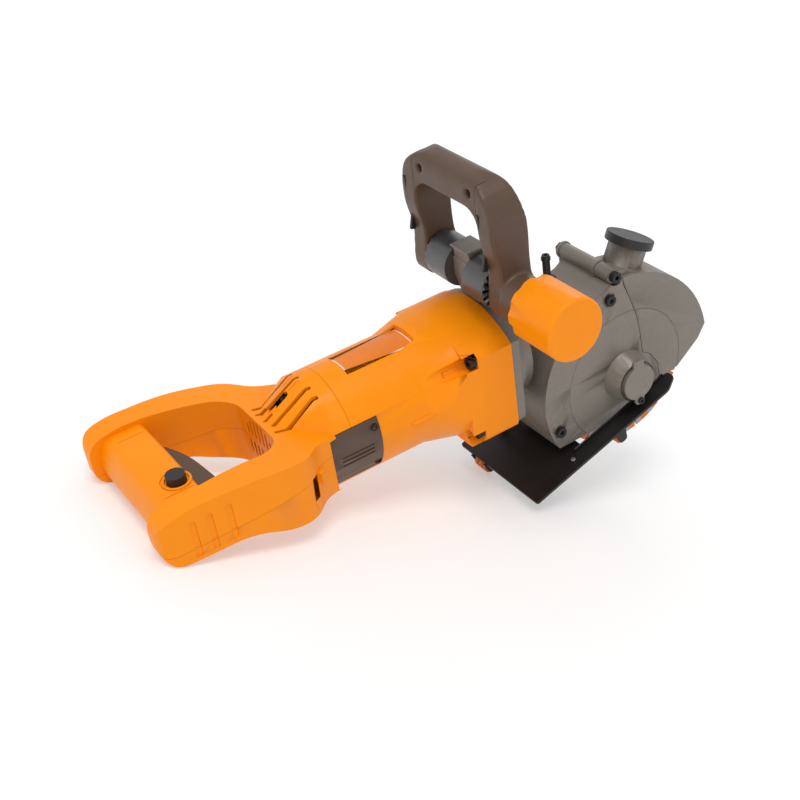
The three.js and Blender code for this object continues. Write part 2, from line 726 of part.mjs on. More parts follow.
// ---- Spindle and discs ----
function makeSpindle() {
  const length = CASE_LEFT + LID_THICKNESS + 1;
  const bar = barY(SPINDLE_RADIUS, HUB_END + 7, length);
  const thread = barY(SPINDLE_RADIUS - 1.5, HUB_END + 3, HUB_END + 8);
  return joined(bar, thread);
}

/** One diamond disc with slots between its rim segments, standing on the spindle. */
function makeDisc() {
  const shape = new THREE.Shape();
  const pitch = (2 * Math.PI) / DISC_SEGMENTS;
  const slot = 0.07;
  const depth = 11;
  for (let i = 0; i < DISC_SEGMENTS; i += 1) {
    const start = i * pitch + (slot * pitch) / 2;
    const end = (i + 1) * pitch - (slot * pitch) / 2;
    const steps = [0, 1 / 3, 2 / 3, 1].map((share) => start + (end - start) * share);
    steps.forEach((angle, k) => {
      const [a, b] = [DISC_RADIUS * Math.cos(angle), DISC_RADIUS * Math.sin(angle)];
      if (i === 0 && k === 0) shape.moveTo(a, b);
      else shape.lineTo(a, b);
    });
    const inner = (i + 1) * pitch;
    shape.lineTo((DISC_RADIUS - depth) * Math.cos(inner), (DISC_RADIUS - depth) * Math.sin(inner));
  }
  shape.closePath();
  const plate = slabY(shape, -DISC_THICKNESS / 2, DISC_THICKNESS / 2);
  return cut(plate, barY(SPINDLE_RADIUS + GAP, -DISC_THICKNESS, DISC_THICKNESS));
}

const LAST_DISC = FIRST_DISC + (DISC_COUNT - 1) * DISC_PITCH;

/** The flange that the stack of discs bears on; y = 0 at its right face. */
function makeInnerFlange() {
  const body = joined(barY(CLAMP_RADIUS, 0, 2.4, 0, 0, ROUND), barY(SPINDLE_RADIUS + 2.4, 0, 4));
  return cut(body, barY(SPINDLE_RADIUS + GAP, -OVER, 6));
}

function makeClampingNut() {
  const body = joined(barY(CLAMP_RADIUS, -3, 0, 0, 0, ROUND), barY(SPINDLE_RADIUS + 4, -6, 0, 0, 0, 6));
  return cut(body, barY(SPINDLE_RADIUS + GAP, -8, OVER));
}

// ---- Guard ----
const guardLeft = CASE_RIGHT - GAP; // outer face of the guard's left wall
const HINGE_SPLIT = [
  [HINGE_X + 7, 42],
  [126, 21],
  [132, 2],
  [135, -17],
  [137, -37],
  [146, -43],
  [154, -56],
  [156, -74],
];

/** The guard's side outline, drawn in by inset. */
function guardOutline(inset) {
  const shape = new THREE.Shape();
  const radius = GUARD_RADIUS - inset;
  const rear = GUARD_REAR_RADIUS - inset;
  const bottom = GUARD_BOTTOM + inset;
  const rearX = SPINDLE_X + 0.5;
  const rearZ = SPINDLE_Z + 2;
  const low = Math.asin((bottom - rearZ) / rear);
  const top = Math.PI / 2 + 0.22;
  shape.moveTo(SPINDLE_X, bottom);
  shape.lineTo(rearX - rear * Math.cos(low), bottom);
  shape.absarc(rearX, rearZ, rear, Math.PI - low, top, true);
  shape.absarc(GUARD_CENTRE_X, GUARD_CENTRE_Z, radius, Math.PI / 2 - 0.02, 0.16, true);
  shape.lineTo(GUARD_CENTRE_X + radius - 10, GUARD_CENTRE_Z + 4);
  shape.lineTo(GUARD_CENTRE_X + radius - 34, GUARD_CENTRE_Z - 14);
  shape.lineTo(PLATE_PIVOT_X + 6, PLATE_PIVOT_Z - 10);
  shape.closePath();
  return shape;
}

/** The guard as one hollow drum, open below, between two values of y. */
function guardDrum() {
  const outer = slabY(guardOutline(0), GUARD_RIGHT, guardLeft, SMALL_ROUND);
  const inner = slabY(
    guardOutline(GUARD_WALL),
    GUARD_RIGHT + GUARD_WALL,
    guardLeft - GUARD_WALL,
    SMALL_ROUND,
  );
  const foot = slabY(
    outline(
      [GUARD_CENTRE_X - 60, GUARD_BOTTOM - OVER],
      [GUARD_CENTRE_X - 60, GUARD_BOTTOM + 2 * GUARD_WALL],
      [PLATE_PIVOT_X, PLATE_PIVOT_Z - 2],
      [GUARD_CENTRE_X + GUARD_RADIUS - 34, GUARD_CENTRE_Z - 8],
      [GUARD_CENTRE_X + GUARD_RADIUS - 14, GUARD_CENTRE_Z + 10],
      [GUARD_CENTRE_X + GUARD_RADIUS + OVER, GUARD_CENTRE_Z - 20],
      [GUARD_CENTRE_X + GUARD_RADIUS, GUARD_BOTTOM - OVER],
    ),
    GUARD_RIGHT + GUARD_WALL,
    guardLeft - GUARD_WALL,
  );
  return cut(outer, inner, foot);
}

/** Everything forward of the line where the front guard parts from the fixed one. */
function frontRegion(gap) {
  const points = HINGE_SPLIT.map(([x, z]) => [x + gap, z]);
  const far = GUARD_CENTRE_X + GUARD_RADIUS + 60;
  const region = [...points, [156 + gap, -140], [far, -140], [far, 90], [HINGE_X + 7 + gap, 90]];
  return slabY(outline(...region), GUARD_RIGHT - 40, 80);
}

const hingeKnuckle = (from, to) =>
  joined(
    barY(HINGE_RADIUS, from, to, HINGE_X, HINGE_Z),
    block([HINGE_X - 5, from, HINGE_Z - 12], [HINGE_X + 5, to, HINGE_Z]),
  );
const hingeBore = () => barY(HINGE_BOLT_RADIUS + GAP, GUARD_RIGHT - 20, HINGE_LEFT + 20, HINGE_X, HINGE_Z);
const KNUCKLE_RIGHT = -36; // joint between the fixed knuckle and the front guard's
const knuckleSweep = () => barY(HINGE_RADIUS + RUN, GUARD_RIGHT - 5, KNUCKLE_RIGHT + RUN, HINGE_X, HINGE_Z);

/** Room above the base plate's sheet, left of its slot. */
function plateRoom() {
  const geometry = new THREE.BoxGeometry(PLATE_REAR + PLATE_FRONT + 40, 80, 120);
  geometry.translate(-PLATE_REAR / 2, PLATE_SLOT_LEFT - RUN + 40, RUN - PLATE_DROP - 60);
  geometry.rotateY(-rad(PLATE_PITCH));
  geometry.translate(PLATE_PIVOT_X, 0, PLATE_PIVOT_Z);
  return solidOf(geometry);
}

/** The guard's shoulder over the gear case: closed on its left, with room for the case and the base plate. */
function guardShoulder() {
  const form = (inset, right, left) => {
    const edge = SPINDLE_X - inset;
    const top = SPINDLE_Z + 15 + inset;
    const front = slabY(
      outline([edge, -150], [220, -150], [220, top], [edge, top]),
      right - OVER,
      left + OVER,
    );
    return cut(slabY(guardOutline(inset), right, left, SMALL_ROUND), frontRegion(-RUN - inset), front);
  };
  const skin = form(0, guardLeft - OVER, SHOULDER_LEFT);
  const hollow = form(GUARD_WALL, guardLeft, SHOULDER_LEFT - GUARD_WALL);
  return cut(skin, hollow, plateRoom(), neckForm(GAP), slabY(caseOutline(-GAP), guardLeft, CASE_LEFT));
}

function makeGuardBody() {
  const drum = cut(guardDrum(), frontRegion(-RUN));
  const coverRoom = block([-OVER, GUARD_RIGHT - OVER, -140], [220, GUARD_RIGHT + GUARD_WALL + GAP, 90]);
  const open = cut(drum, coverRoom);
  const spindleWay = barY(
    CLAMP_RADIUS + 2,
    guardLeft - GUARD_WALL - OVER,
    guardLeft + OVER,
    SPINDLE_X,
    SPINDLE_Z,
  );
  const knuckle = hingeKnuckle(KNUCKLE_RIGHT + RUN, HINGE_LEFT);
  const strut = block([HINGE_X - 5, guardLeft - GUARD_WALL, 24], [HINGE_X + 5, HINGE_LEFT, HINGE_Z - 6]);
  const bosses = [
    barY(5, GUARD_RIGHT + GUARD_WALL + GAP, guardLeft - OVER, GUARD_SCREWS[0][0], GUARD_SCREWS[0][1]),
    barY(5, GUARD_RIGHT + GUARD_WALL + GAP, guardLeft - OVER, GUARD_SCREWS[1][0], GUARD_SCREWS[1][1]),
  ];
  const shell = cut(open, knuckleSweep());
  return cut(
    joined(shell, guardShoulder(), knuckle, strut, ...bosses),
    spindleWay,
    hingeBore(),
    elbowBore(),
    ...guardScrewHoles(),
  );
}

const GUARD_SCREWS = [
  [102, 32],
  [40, -76],
];
const guardScrewHoles = () =>
  GUARD_SCREWS.map(([x, z]) => barY(2.3, GUARD_RIGHT - OVER, GUARD_RIGHT + 20, x, z));

function makeSideCover() {
  const skin = block([-OVER, GUARD_RIGHT - OVER, -140], [220, GUARD_RIGHT + GUARD_WALL, 90]);
  const plate = cut(
    slabY(guardOutline(0), GUARD_RIGHT, GUARD_RIGHT + GUARD_WALL, SMALL_ROUND),
    frontRegion(-RUN),
  );
  const hub = turnedHub();
  const bore = barY(BEARING_RADIUS + GAP, HUB_END + 3 - OVER, GUARD_RIGHT + 10, SPINDLE_X, SPINDLE_Z);
  return cut(joined(plate.intersect(skin), hub), bore, knuckleSweep(), ...guardScrewHoles());
}

/** The boss round the outer spindle bearing, narrower at its end. */
function turnedHub() {
  const geometry = new THREE.CylinderGeometry(
    HUB_RADIUS,
    HUB_RADIUS - 5,
    GUARD_RIGHT + OVER - HUB_END,
    ROUND,
  );
  geometry.translate(SPINDLE_X, (GUARD_RIGHT + OVER + HUB_END) / 2, SPINDLE_Z);
  return solidOf(geometry);
}

/** The dust port's own axis, as a matrix that stands a piece made along Z on the guard. */
function portPlace() {
  const place = new THREE.Matrix4().makeRotationY(rad(PORT_TILT));
  return place.setPosition(GUARD_CENTRE_X - PORT_BACK, PORT_Y, GUARD_CENTRE_Z);
}

function placedBar(radius, from, to, sides) {
  const geometry = new THREE.CylinderGeometry(radius, radius, to - from, sides);
  geometry.rotateX(Math.PI / 2);
  geometry.translate(0, 0, (from + to) / 2);
  geometry.applyMatrix4(portPlace());
  return solidOf(geometry);
}

function makeFrontGuard() {
  const drum = guardDrum().intersect(frontRegion(0));
  const skirt = PORT_HEIGHT - 40;
  const tube = cut(
    placedBar(PORT_RADIUS, skirt, PORT_HEIGHT, SMALL_ROUND),
    slabY(guardOutline(GUARD_WALL), -70, 10, SMALL_ROUND),
  );
  const way = placedBar(PORT_RADIUS - 3, skirt - OVER, PORT_HEIGHT + OVER, SMALL_ROUND);
  const web = slabY(
    outline(
      [HINGE_X, HINGE_Z + 5],
      [HINGE_X + 1, HINGE_Z - 1],
      [HINGE_X + 8.5, HINGE_Z - 1],
      [HINGE_X + 8.5, HINGE_Z - 8],
      [HINGE_X + 26, HINGE_Z - 9],
      [HINGE_X + 10, HINGE_Z + 2],
    ),
    GUARD_RIGHT + 4,
    KNUCKLE_RIGHT,
  );
  const knuckle = joined(barY(HINGE_RADIUS, GUARD_RIGHT + 4, KNUCKLE_RIGHT, HINGE_X, HINGE_Z), web);
  const sweep = barY(HINGE_RADIUS + RUN, KNUCKLE_RIGHT, guardLeft + OVER, HINGE_X, HINGE_Z);
  return cut(joined(drum, tube, knuckle), way, sweep, hingeBore());
}

function makeHingeBolt() {
  const head = barY(HINGE_BOLT_RADIUS + 2, GUARD_RIGHT - 1, GUARD_RIGHT + 4 - GAP);
  const shank = barY(HINGE_BOLT_RADIUS, GUARD_RIGHT, HINGE_LEFT + 5);
  const nut = barY(HINGE_BOLT_RADIUS + 2.5, HINGE_LEFT + GAP, HINGE_LEFT + 4.5, 0, 0, 6);
  const socket = barY(2.2, GUARD_RIGHT - 2, GUARD_RIGHT + 2, 0, 0, 6);
  return cut(joined(head, shank, nut), socket);
}

function makeGuardScrew() {
  const head = barY(5.2, -3.5, -GAP);
  const shank = barY(2, -1, 17);
  const socket = barY(2.2, -5, -1.5, 0, 0, 6);
  return cut(joined(head, shank), socket);
}

function makePortCap() {
  const outer = placedBar(PORT_CAP_RADIUS, PORT_HEIGHT - PORT_CAP_DEPTH + 3, PORT_HEIGHT + 3, ROUND);
  const inside = placedBar(PORT_RADIUS + GAP, PORT_HEIGHT - PORT_CAP_DEPTH, PORT_HEIGHT + GAP, SMALL_ROUND);
  const plug = cut(
    placedBar(PORT_RADIUS - 3 - GAP, PORT_HEIGHT - 6, PORT_HEIGHT + 1, SMALL_ROUND),
    placedBar(PORT_RADIUS - 6, PORT_HEIGHT - 7, PORT_HEIGHT - 1, SMALL_ROUND),
  );
  return joined(cut(outer, inside), plug);
}

const ELBOW = { x: 80, y: -2, rise: 30, radius: 3.5, collar: 8 };
const elbowFoot = () =>
  SPINDLE_Z + 2 + Math.sqrt(GUARD_REAR_RADIUS ** 2 - (SPINDLE_X + 0.5 - ELBOW.x) ** 2);
const elbowBore = () => barZ(
  ELBOW.radius - 1,
  elbowFoot() - 12,
  elbowFoot() + 12,
  ELBOW.x,
  ELBOW.y,
  SMALL_ROUND,
);

/** The water inlet: a collar on the guard and a barb that leans back. */
function makeElbow() {
  const foot = elbowFoot();
  const collar = barZ(ELBOW.collar, foot - 14, foot + 7, ELBOW.x, ELBOW.y);
  const barb = barZ(ELBOW.radius, foot + 6, foot + ELBOW.rise, ELBOW.x, ELBOW.y);
  const lip = barZ(ELBOW.radius + 0.8, foot + ELBOW.rise - 5, foot + ELBOW.rise - 2, ELBOW.x, ELBOW.y);
  const saddle = slabY(guardOutline(-GAP), ELBOW.y - 20, ELBOW.y + 20, SMALL_ROUND);
  const bore = barZ(ELBOW.radius - 1.6, foot - 16, foot + ELBOW.rise + OVER, ELBOW.x, ELBOW.y, 12);
  return cut(joined(collar, barb, lip), saddle, bore);
}

/** The cap over the spindle's end, with a tab above and below. */
function makeHubCap() {
  const round = barY(CAP_RADIUS, -CAP_THICKNESS, 0, 0, 0, ROUND);
  const tabs = slabY(rounded([-5, -23, 4], [5, -23, 4], [6, 23, 3], [-6, 23, 3]), -CAP_THICKNESS, 0);
  return joined(round, tabs);
}

// ---- Base plate ----
const ROLLERS = [
  { name: "roller_rear", x: -PLATE_REAR + 4, y: 0, length: REAR_ROLLER_LENGTH },
  { name: "roller_front_right", x: -64, y: PLATE_RIGHT + CHEEK + RUN, length: FRONT_ROLLER_LENGTH },
  { name: "roller_front_left", x: -64, y: 14, length: FRONT_ROLLER_LENGTH },
];
const rollerZ = -PLATE_DROP - PLATE_THICKNESS - ROLLER_DROP;

/** The plate in its own frame, with its origin on the pivot and its sheet level. */
function makeBasePlate() {
  const top = -PLATE_DROP;
  const bottom = top - PLATE_THICKNESS;
  const sheet = slabZ(
    rounded(
      [-PLATE_REAR, PLATE_RIGHT, 3],
      [PLATE_FRONT - 14, PLATE_RIGHT, 4],
      [PLATE_FRONT, PLATE_RIGHT + 8, 3],
      [PLATE_FRONT, PLATE_SLOT_RIGHT, 4],
      [-PLATE_SLOT_REAR, PLATE_SLOT_RIGHT, 2],
      [-PLATE_SLOT_REAR, PLATE_SLOT_LEFT, 2],
      [PLATE_FRONT, PLATE_SLOT_LEFT, 4],
      [PLATE_FRONT, PLATE_LEFT, 12],
      [-PLATE_REAR, PLATE_LEFT, 3],
    ),
    bottom,
    top,
    4,
  );
  const rail = block(
    [-PLATE_SLOT_REAR - 10, PLATE_SLOT_RIGHT - 2, top - OVER],
    [PLATE_FRONT - 6, PLATE_SLOT_RIGHT, top + 3],
  );
  const ear = slabY(
    rounded([-9, top - OVER], [9, top - OVER], [6, 6, 6], [-6, 6, 6]),
    PIVOT_EAR,
    PIVOT_EAR + 3,
  );
  const arm = slabY(
    rounded([-132, top - OVER], [-106, top - OVER], [-108, 40, 5], [-124, 40, 5]),
    ARM_Y,
    ARM_Y + 3,
  );
  const slot = slabY(
    rounded([-121, 4, 3], [-114, 4, 3], [-112, 33, 3], [-119, 33, 3]),
    ARM_Y - OVER,
    ARM_Y + 4,
  );
  const pins = ROLLERS.map(({ x, y, length }) => {
    const ends = [y - CHEEK - RUN, y + length + RUN];
    const cheek = rounded(
      [x - 6, top - OVER],
      [x - 4, rollerZ - 4, 3],
      [x + 4, rollerZ - 4, 3],
      [x + 6, top - OVER],
    );
    const cheeks = ends.map((from) => slabY(cheek, from, from + CHEEK, 3));
    return joined(barY(ROLLER_PIN_RADIUS, y - CHEEK, y + length + CHEEK, x, rollerZ), ...cheeks);
  });
  const pivotHole = barY(PIVOT_RADIUS + GAP, PIVOT_EAR - OVER, PIVOT_EAR + 4);
  return cut(joined(sheet, rail, ear, arm, ...pins), pivotHole, slot);
}

/** The bolt that the base plate turns on, with a head outside the ear. */
function makePivotBolt() {
  const head = barY(PIVOT_RADIUS + 2, PIVOT_EAR + 3 + GAP, PIVOT_EAR + 6, 0, 0, 6);
  return joined(head, barY(PIVOT_RADIUS, LUG_RIGHT - 2, PIVOT_EAR + 4));
}

function makeRoller(length) {
  const body = barY(ROLLER_RADIUS, 0, length);
  const grooves = [0.3, 0.7].map((share) => {
    const middle = length * share;
    return cut(
      barY(ROLLER_RADIUS + OVER, middle - 1, middle + 1),
      barY(ROLLER_RADIUS - 1.2, middle - 2, middle + 2),
    );
  });
  return cut(body, ...grooves, barY(ROLLER_PIN_RADIUS + GAP, -OVER, length + OVER));
}

// ---- Rear handle ----
const handleRear = BARREL_REAR - REAR_DOME_LENGTH - HANDLE_LENGTH;

/** The rear handle's outer form, drawn in by inset: the dome behind the motor, two arms and the grip. */
function handleForm(inset) {
  const rear = handleRear + inset;
  const half = HANDLE_HALF_WIDTH - inset;
  const inner = HANDLE_HALF_WIDTH - ARM_THICKNESS + inset;
  const gripRear = handleRear + GRIP_SET_IN + inset;
  const gripFront = handleRear + GRIP_SET_IN + GRIP_WIDTH - inset;
  const domeEnd = BARREL_REAR - REAR_DOME_LENGTH + inset;
  const root = BARREL_REAR - COVER_LENGTH / 2 + 6; // where the arms end, against the barrel
  const plan = slabZ(
    rounded(
      [root, -half + 28],
      [domeEnd + 24, -half + 24, 12],
      [domeEnd + 6, -half + 6, 14],
      [domeEnd - 36, -half, 30],
      [rear, -half, 14],
      [rear, half, 14],
      [domeEnd - 36, half, 30],
      [domeEnd + 6, half - 6, 14],
      [domeEnd + 24, half - 24, 12],
      [root, half - 28],
    ),
    -60,
    60,
    5,
  );
  const side = slabY(
    rounded(
      [root, 22 - inset],
      [-217, 33 - inset, 14],
      [-260, 41 - inset, 30],
      [-310, 43 - inset, 18],
      [rear, 36 - inset, 18],
      [rear, -4 + inset, 20],
      [-262, -6 + inset, 16],
      [-224, -25 + inset, 16],
      [root, -28 + inset],
    ),
    -HANDLE_HALF_WIDTH - 5,
    HANDLE_HALF_WIDTH + 5,
    5,
  );
  const between = block([handleRear - 20, -inner, -70], [gripFront - OVER, inner, 70]);
  const window = slabZ(
    rounded(
      [domeEnd, -inner + 22, 8],
      [domeEnd - 14, -inner + 9, 12],
      [domeEnd - 42, -inner + 5, 40],
      [gripFront - 2 * OVER, -inner],
      [gripFront - 2 * OVER, inner],
      [domeEnd - 42, inner - 5, 40],
      [domeEnd - 14, inner - 9, 12],
      [domeEnd, inner - 22, 8],
    ),
    -70,
    70,
    5,
  );
  const grip = slabY(
    rounded(
      [gripFront, 38 - inset, 7],
      [gripFront, -3 + inset, 9],
      [gripRear + 6, -4 + inset, 12],
      [gripRear - 2, 14, 20],
      [gripRear + 5, 38 - inset, 12],
    ),
    -inner - OVER,
    inner + OVER,
    5,
  );
  const radius = BARREL_RADIUS - inset;
  const dome = turnedX(
    [
      [domeEnd, 0],
      [domeEnd, 22 - inset],
      [domeEnd + 6, 30 - inset],
      [BARREL_REAR - 18, radius],
      [BARREL_REAR, radius],
      [BARREL_REAR, 0],
    ],
    ROUND,
  );
  return joined(cut(plan.intersect(side), between, window), grip, dome);
}

/** The hollow handle, before it is parted into two halves. */
function handleShell() {
  const bore = barX(BARREL_RADIUS - BARREL_WALL, BARREL_REAR - 16, BARREL_REAR + OVER, 0, 0, ROUND);
  return cut(handleForm(0), handleForm(HANDLE_WALL), bore, coverPocket(-1), coverPocket(1));
}

const half = (top) =>
  block(
    [handleRear - OVER, -100, top ? HANDLE_PARTING + GAP / 2 : -100],
    [BARREL_REAR - GAP, 100, top ? 100 : HANDLE_PARTING - GAP / 2],
  );

const triggerFront = handleRear + GRIP_SET_IN + GRIP_WIDTH;
const BUTTON_X = triggerFront - 12;
const BUTTON_Y = -33;
const TRIGGER_HALF = 42;
const TRIGGER_LOW = 4; // underside of the trigger
const TRIGGER_SWEEP = 4; // sideways travel of its free end as it is pulled

/** The slot in the grip's front face that the trigger passes through. */
const triggerWay = (clearance) =>
  block(
    [triggerFront - 12, -TRIGGER_HALF - TRIGGER_SWEEP, TRIGGER_LOW - clearance],
    [triggerFront + 20, TRIGGER_HALF + 2 * clearance, TRIGGER_LOW + TRIGGER_THICKNESS + clearance],
  );

/** The trigger: a long paddle hinged at the left end of the grip. */
function makeTrigger() {
  return slabZ(
    rounded(
      [triggerFront - 8, TRIGGER_HALF, 3],
      [triggerFront - 8, -TRIGGER_HALF, 2],
      [triggerFront + TRIGGER_REACH, -TRIGGER_HALF, 6],
      [triggerFront + 0.75 * TRIGGER_REACH, TRIGGER_HALF / 4, 30],
      [triggerFront + 1, TRIGGER_HALF, 3],
    ),
    TRIGGER_LOW,
    TRIGGER_LOW + TRIGGER_THICKNESS,
    4,
  );
}

/** The switch, which the trigger presses near its hinge. */
const makeSwitch = () => block([handleRear + 20, 6, 5], [triggerFront - 14, TRIGGER_HALF - 8, 25]);

function makeLockButton() {
  const stem = barZ(BUTTON_RADIUS - 2, 30, 38);
  const head = barZ(BUTTON_RADIUS, 37, 40 + BUTTON_RISE);
  return joined(stem, head);
}

// ---- Front handle ----
/** The U of the front handle round its tilt axis: two hubs, two legs and the inner part of the grip. */
function frontLoop(y0, y1, depth0, depth1) {
  const outer = FRONT_HALF_WIDTH;
  const inner = FRONT_HALF_WIDTH - LEG_THICKNESS;
  const top = FRONT_HEIGHT;
  const under = FRONT_HEIGHT - GRIP_HEIGHT;
  const whole = slabX(
    rounded(
      [-outer, -HUB_SLEEVE_RADIUS, 8],
      [outer, -HUB_SLEEVE_RADIUS, 8],
      [outer, top, 40],
      [-outer, top, 40],
    ),
    depth0,
    depth1,
    8,
  );
  const gap = slabX(
    rounded(
      [-inner, -HUB_SLEEVE_RADIUS - OVER],
      [inner, -HUB_SLEEVE_RADIUS - OVER],
      [inner, under, 20],
      [-inner, under, 20],
    ),
    depth0 - OVER,
    depth1 + OVER,
    6,
  );
  return cut(whole, gap).intersect(block([-60, y0, -60], [60, y1, top + OVER]));
}

function makeFrontHandle() {
  const side = slabY(
    rounded(
      [-HUB_SLEEVE_RADIUS, -HUB_SLEEVE_RADIUS, 18],
      [HUB_SLEEVE_RADIUS, -HUB_SLEEVE_RADIUS, 18],
      [FRONT_DEPTH / 2 + 2, 26, 16],
      [FRONT_DEPTH / 2 + 6, 56, 12],
      [FRONT_DEPTH / 2, FRONT_HEIGHT, 12],
      [-FRONT_DEPTH / 2, FRONT_HEIGHT, 12],
      [-FRONT_DEPTH / 2 - 4, 50, 12],
      [-FRONT_DEPTH / 2 + 1, 26, 16],
    ),
    -80,
    80,
    5,
  );
  const loop = frontLoop(-80, 80, -60, 60).intersect(side);
  const boss = barY(HUB_SLEEVE_RADIUS, -FRONT_HALF_WIDTH - HUB_BOSS, -FRONT_HALF_WIDTH + OVER, 0, 0, ROUND);
  const bolt = barY(BOLT_RADIUS + GAP, -FRONT_HALF_WIDTH - HUB_BOSS - OVER, 80);
  return cut(joined(loop, boss), bolt, gripCoverForm(GAP));
}

/** The grip cover: the rear half of the top bar, screwed on. */
function gripCoverForm(clearance) {
  const reach = 44 + clearance;
  return block(
    [-60, -reach, FRONT_HEIGHT - GRIP_HEIGHT - OVER - clearance],
    [-2 + clearance, reach, FRONT_HEIGHT + 2],
  );
}

function makeGripCover() {
  const side = slabY(
    rounded(
      [-FRONT_DEPTH / 2, FRONT_HEIGHT, 12],
      [FRONT_DEPTH / 2, FRONT_HEIGHT, 12],
      [FRONT_DEPTH / 2 + 4, 50],
      [-FRONT_DEPTH / 2 - 3, 50],
    ),
    -80,
    80,
    5,
  );
  const holes = [-34, 34].map((y) => barX(3.6, -40, -8, y, FRONT_HEIGHT - GRIP_HEIGHT / 2));
  return cut(frontLoop(-80, 80, -60, 60).intersect(side).intersect(gripCoverForm(0)), ...holes);
}

/** A ring with teeth on one face, along Y from y = 0; the teeth stand out past width. */
function makeToothedRing(width, phase) {
  const body = barY(HUB_SLEEVE_RADIUS, 0, width, 0, 0, ROUND);
  const pitch = (2 * Math.PI) / RING_TEETH;
  const teeth = Array.from({ length: RING_TEETH }, (_, i) => {
    const tooth = slabX(
      outline([width - 0.5, -2.2], [width + 2, -0.8], [width + 2, 0.8], [width - 0.5, 2.2]),
      HUB_SLEEVE_RADIUS - 8,
      HUB_SLEEVE_RADIUS - 0.4,
    );
    const turned = geometryOf(tooth);
    turned.rotateY(phase + i * pitch);
    return solidOf(turned);
  });
  return cut(joined(body, ...teeth), barY(BOLT_RADIUS + GAP, -OVER, width + 4));
}

/** The bracket on the gear case, between the toothed rings. */
function makeBracket() {
  const plate = FLANGE_TOP - 1 + GAP;
  const foot = -HANDLE_AXIS_Z + plate;
  const front = bracketBase.to - HANDLE_AXIS_X;
  const body = slabY(
    rounded([-5, foot], [front, foot], [14, -4, 6], [11, 12], [-10, 12], [-11, -4, 6]),
    -BRACKET_HALF_WIDTH,
    BRACKET_HALF_WIDTH,
  );
  return cut(body, barY(BOLT_RADIUS + GAP, -40, 40));
}

function makeKnob() {
  const shape = new THREE.Shape();
  const steps = KNOB_LOBES * 8;
  for (let i = 0; i < steps; i += 1) {
    const angle = (i * 2 * Math.PI) / steps;
    const radius = KNOB_RADIUS + 1.1 * Math.cos(KNOB_LOBES * angle) - 1.1;
    if (i === 0) shape.moveTo(radius * Math.cos(angle), radius * Math.sin(angle));
    else shape.lineTo(radius * Math.cos(angle), radius * Math.sin(angle));
  }
  shape.closePath();
  return cut(slabY(shape, -KNOB_LENGTH, 0), barY(BOLT_RADIUS + GAP, -KNOB_LENGTH / 2, OVER));
}

// ---- Build: motor section ----
piece("motor_housing", makeMotorHousing(), ORANGE);
const flangeScrew = makeFlangeScrew();
FLANGE_SCREWS.forEach(([y, z], i) => {
  piece(`flange_screw_${i + 1}`, flangeScrew, BLACK_STEEL).position.set(FLANGE_SEAT - GAP, y, z);
});
piece("brush_cover_right", makeBrushCover(-1), DARK_PLASTIC);
piece("brush_cover_left", makeBrushCover(1), DARK_PLASTIC);
piece("stator", makeStator(), LAMINATION);
piece("armature_shaft", makeArmatureShaft(), STEEL);
piece("armature_core", makeArmatureCore(), LAMINATION);
piece("commutator", makeCommutator(), COPPER);
piece("cooling_fan", makeFan(), BLACK_PLASTIC);
const motorBearing = makeBearing(BEARING_RADIUS, SHAFT_RADIUS + GAP, BEARING_WIDTH);
piece("rear_bearing", motorBearing, STEEL).position.set(COMMUTATOR_REAR - 4 - BEARING_WIDTH, 0, 0);
piece("front_bearing", motorBearing, STEEL).position.set(FRONT_BEARING_X, 0, 0);
const brushLength = BARREL_RADIUS - COVER_THICKNESS - COMMUTATOR_RADIUS - 6;
const brush = block([-BRUSH_SIZE / 2, 0, -BRUSH_SIZE / 2], [BRUSH_SIZE / 2, brushLength, BRUSH_SIZE / 2]);
piece("carbon_brush_left", brush, CARBON).position.set(BRUSH_X, COMMUTATOR_RADIUS + GAP, 0);
const rightBrush = piece("carbon_brush_right", brush, CARBON);
rightBrush.position.set(BRUSH_X, -COMMUTATOR_RADIUS - GAP, 0);
rightBrush.rotation.z = Math.PI;

// ---- Build: rear handle ----
const shell = handleShell();
const buttonHole = barZ(BUTTON_RADIUS + GAP, 30, 60, BUTTON_X, BUTTON_Y);
piece("handle_upper_shell", cut(shell.intersect(half(true)), triggerWay(RUN), buttonHole), ORANGE);
piece("handle_lower_shell", cut(shell.intersect(half(false)), triggerWay(RUN)), ORANGE);
piece("trigger", makeTrigger(), DARK_PLASTIC);
piece("lock_button", makeLockButton(), BLACK_PLASTIC).position.set(BUTTON_X, BUTTON_Y, 0);
piece("switch_body", makeSwitch(), BLACK_PLASTIC);

// ---- Build: gear case and gears ----
const train = gearTrain();
piece("gear_case", makeGearCase(), GREY_CASTING);
piece("gear_case_cover", makeGearCaseCover(), GREY_CASTING);
piece("bevel_pinion", makeBevelPinion(), STEEL);
const intermediate = groupAt(INTERMEDIATE_X, 0, 0);
piece("bevel_gear", makeBevelGear(), STEEL, intermediate);
const shaftEnd = CASE_LEFT + LID_THICKNESS - 1;
piece("intermediate_shaft", barY(INTERMEDIATE_RADIUS, CASE_RIGHT + 2 + GAP, shaftEnd), STEEL, intermediate);
const spurNames = ["spur_pinion", "idler_gear", "spur_gear"];
const spurTeeth = [SPUR_PINION_TEETH, IDLER_TEETH, SPUR_TEETH];
const spurBores = [INTERMEDIATE_RADIUS, IDLER_PIN_RADIUS, SPINDLE_RADIUS];
spurNames.forEach((name, i) => {
  const { x, y } = train.centres[i];
  const gear = spurGear(spurTeeth[i], train.radii[i], train.phases[i], 0, SPUR_WIDTH, spurBores[i] + GAP);
  piece(name, gear, STEEL, groupAt(x, SPUR_RIGHT, y));
});

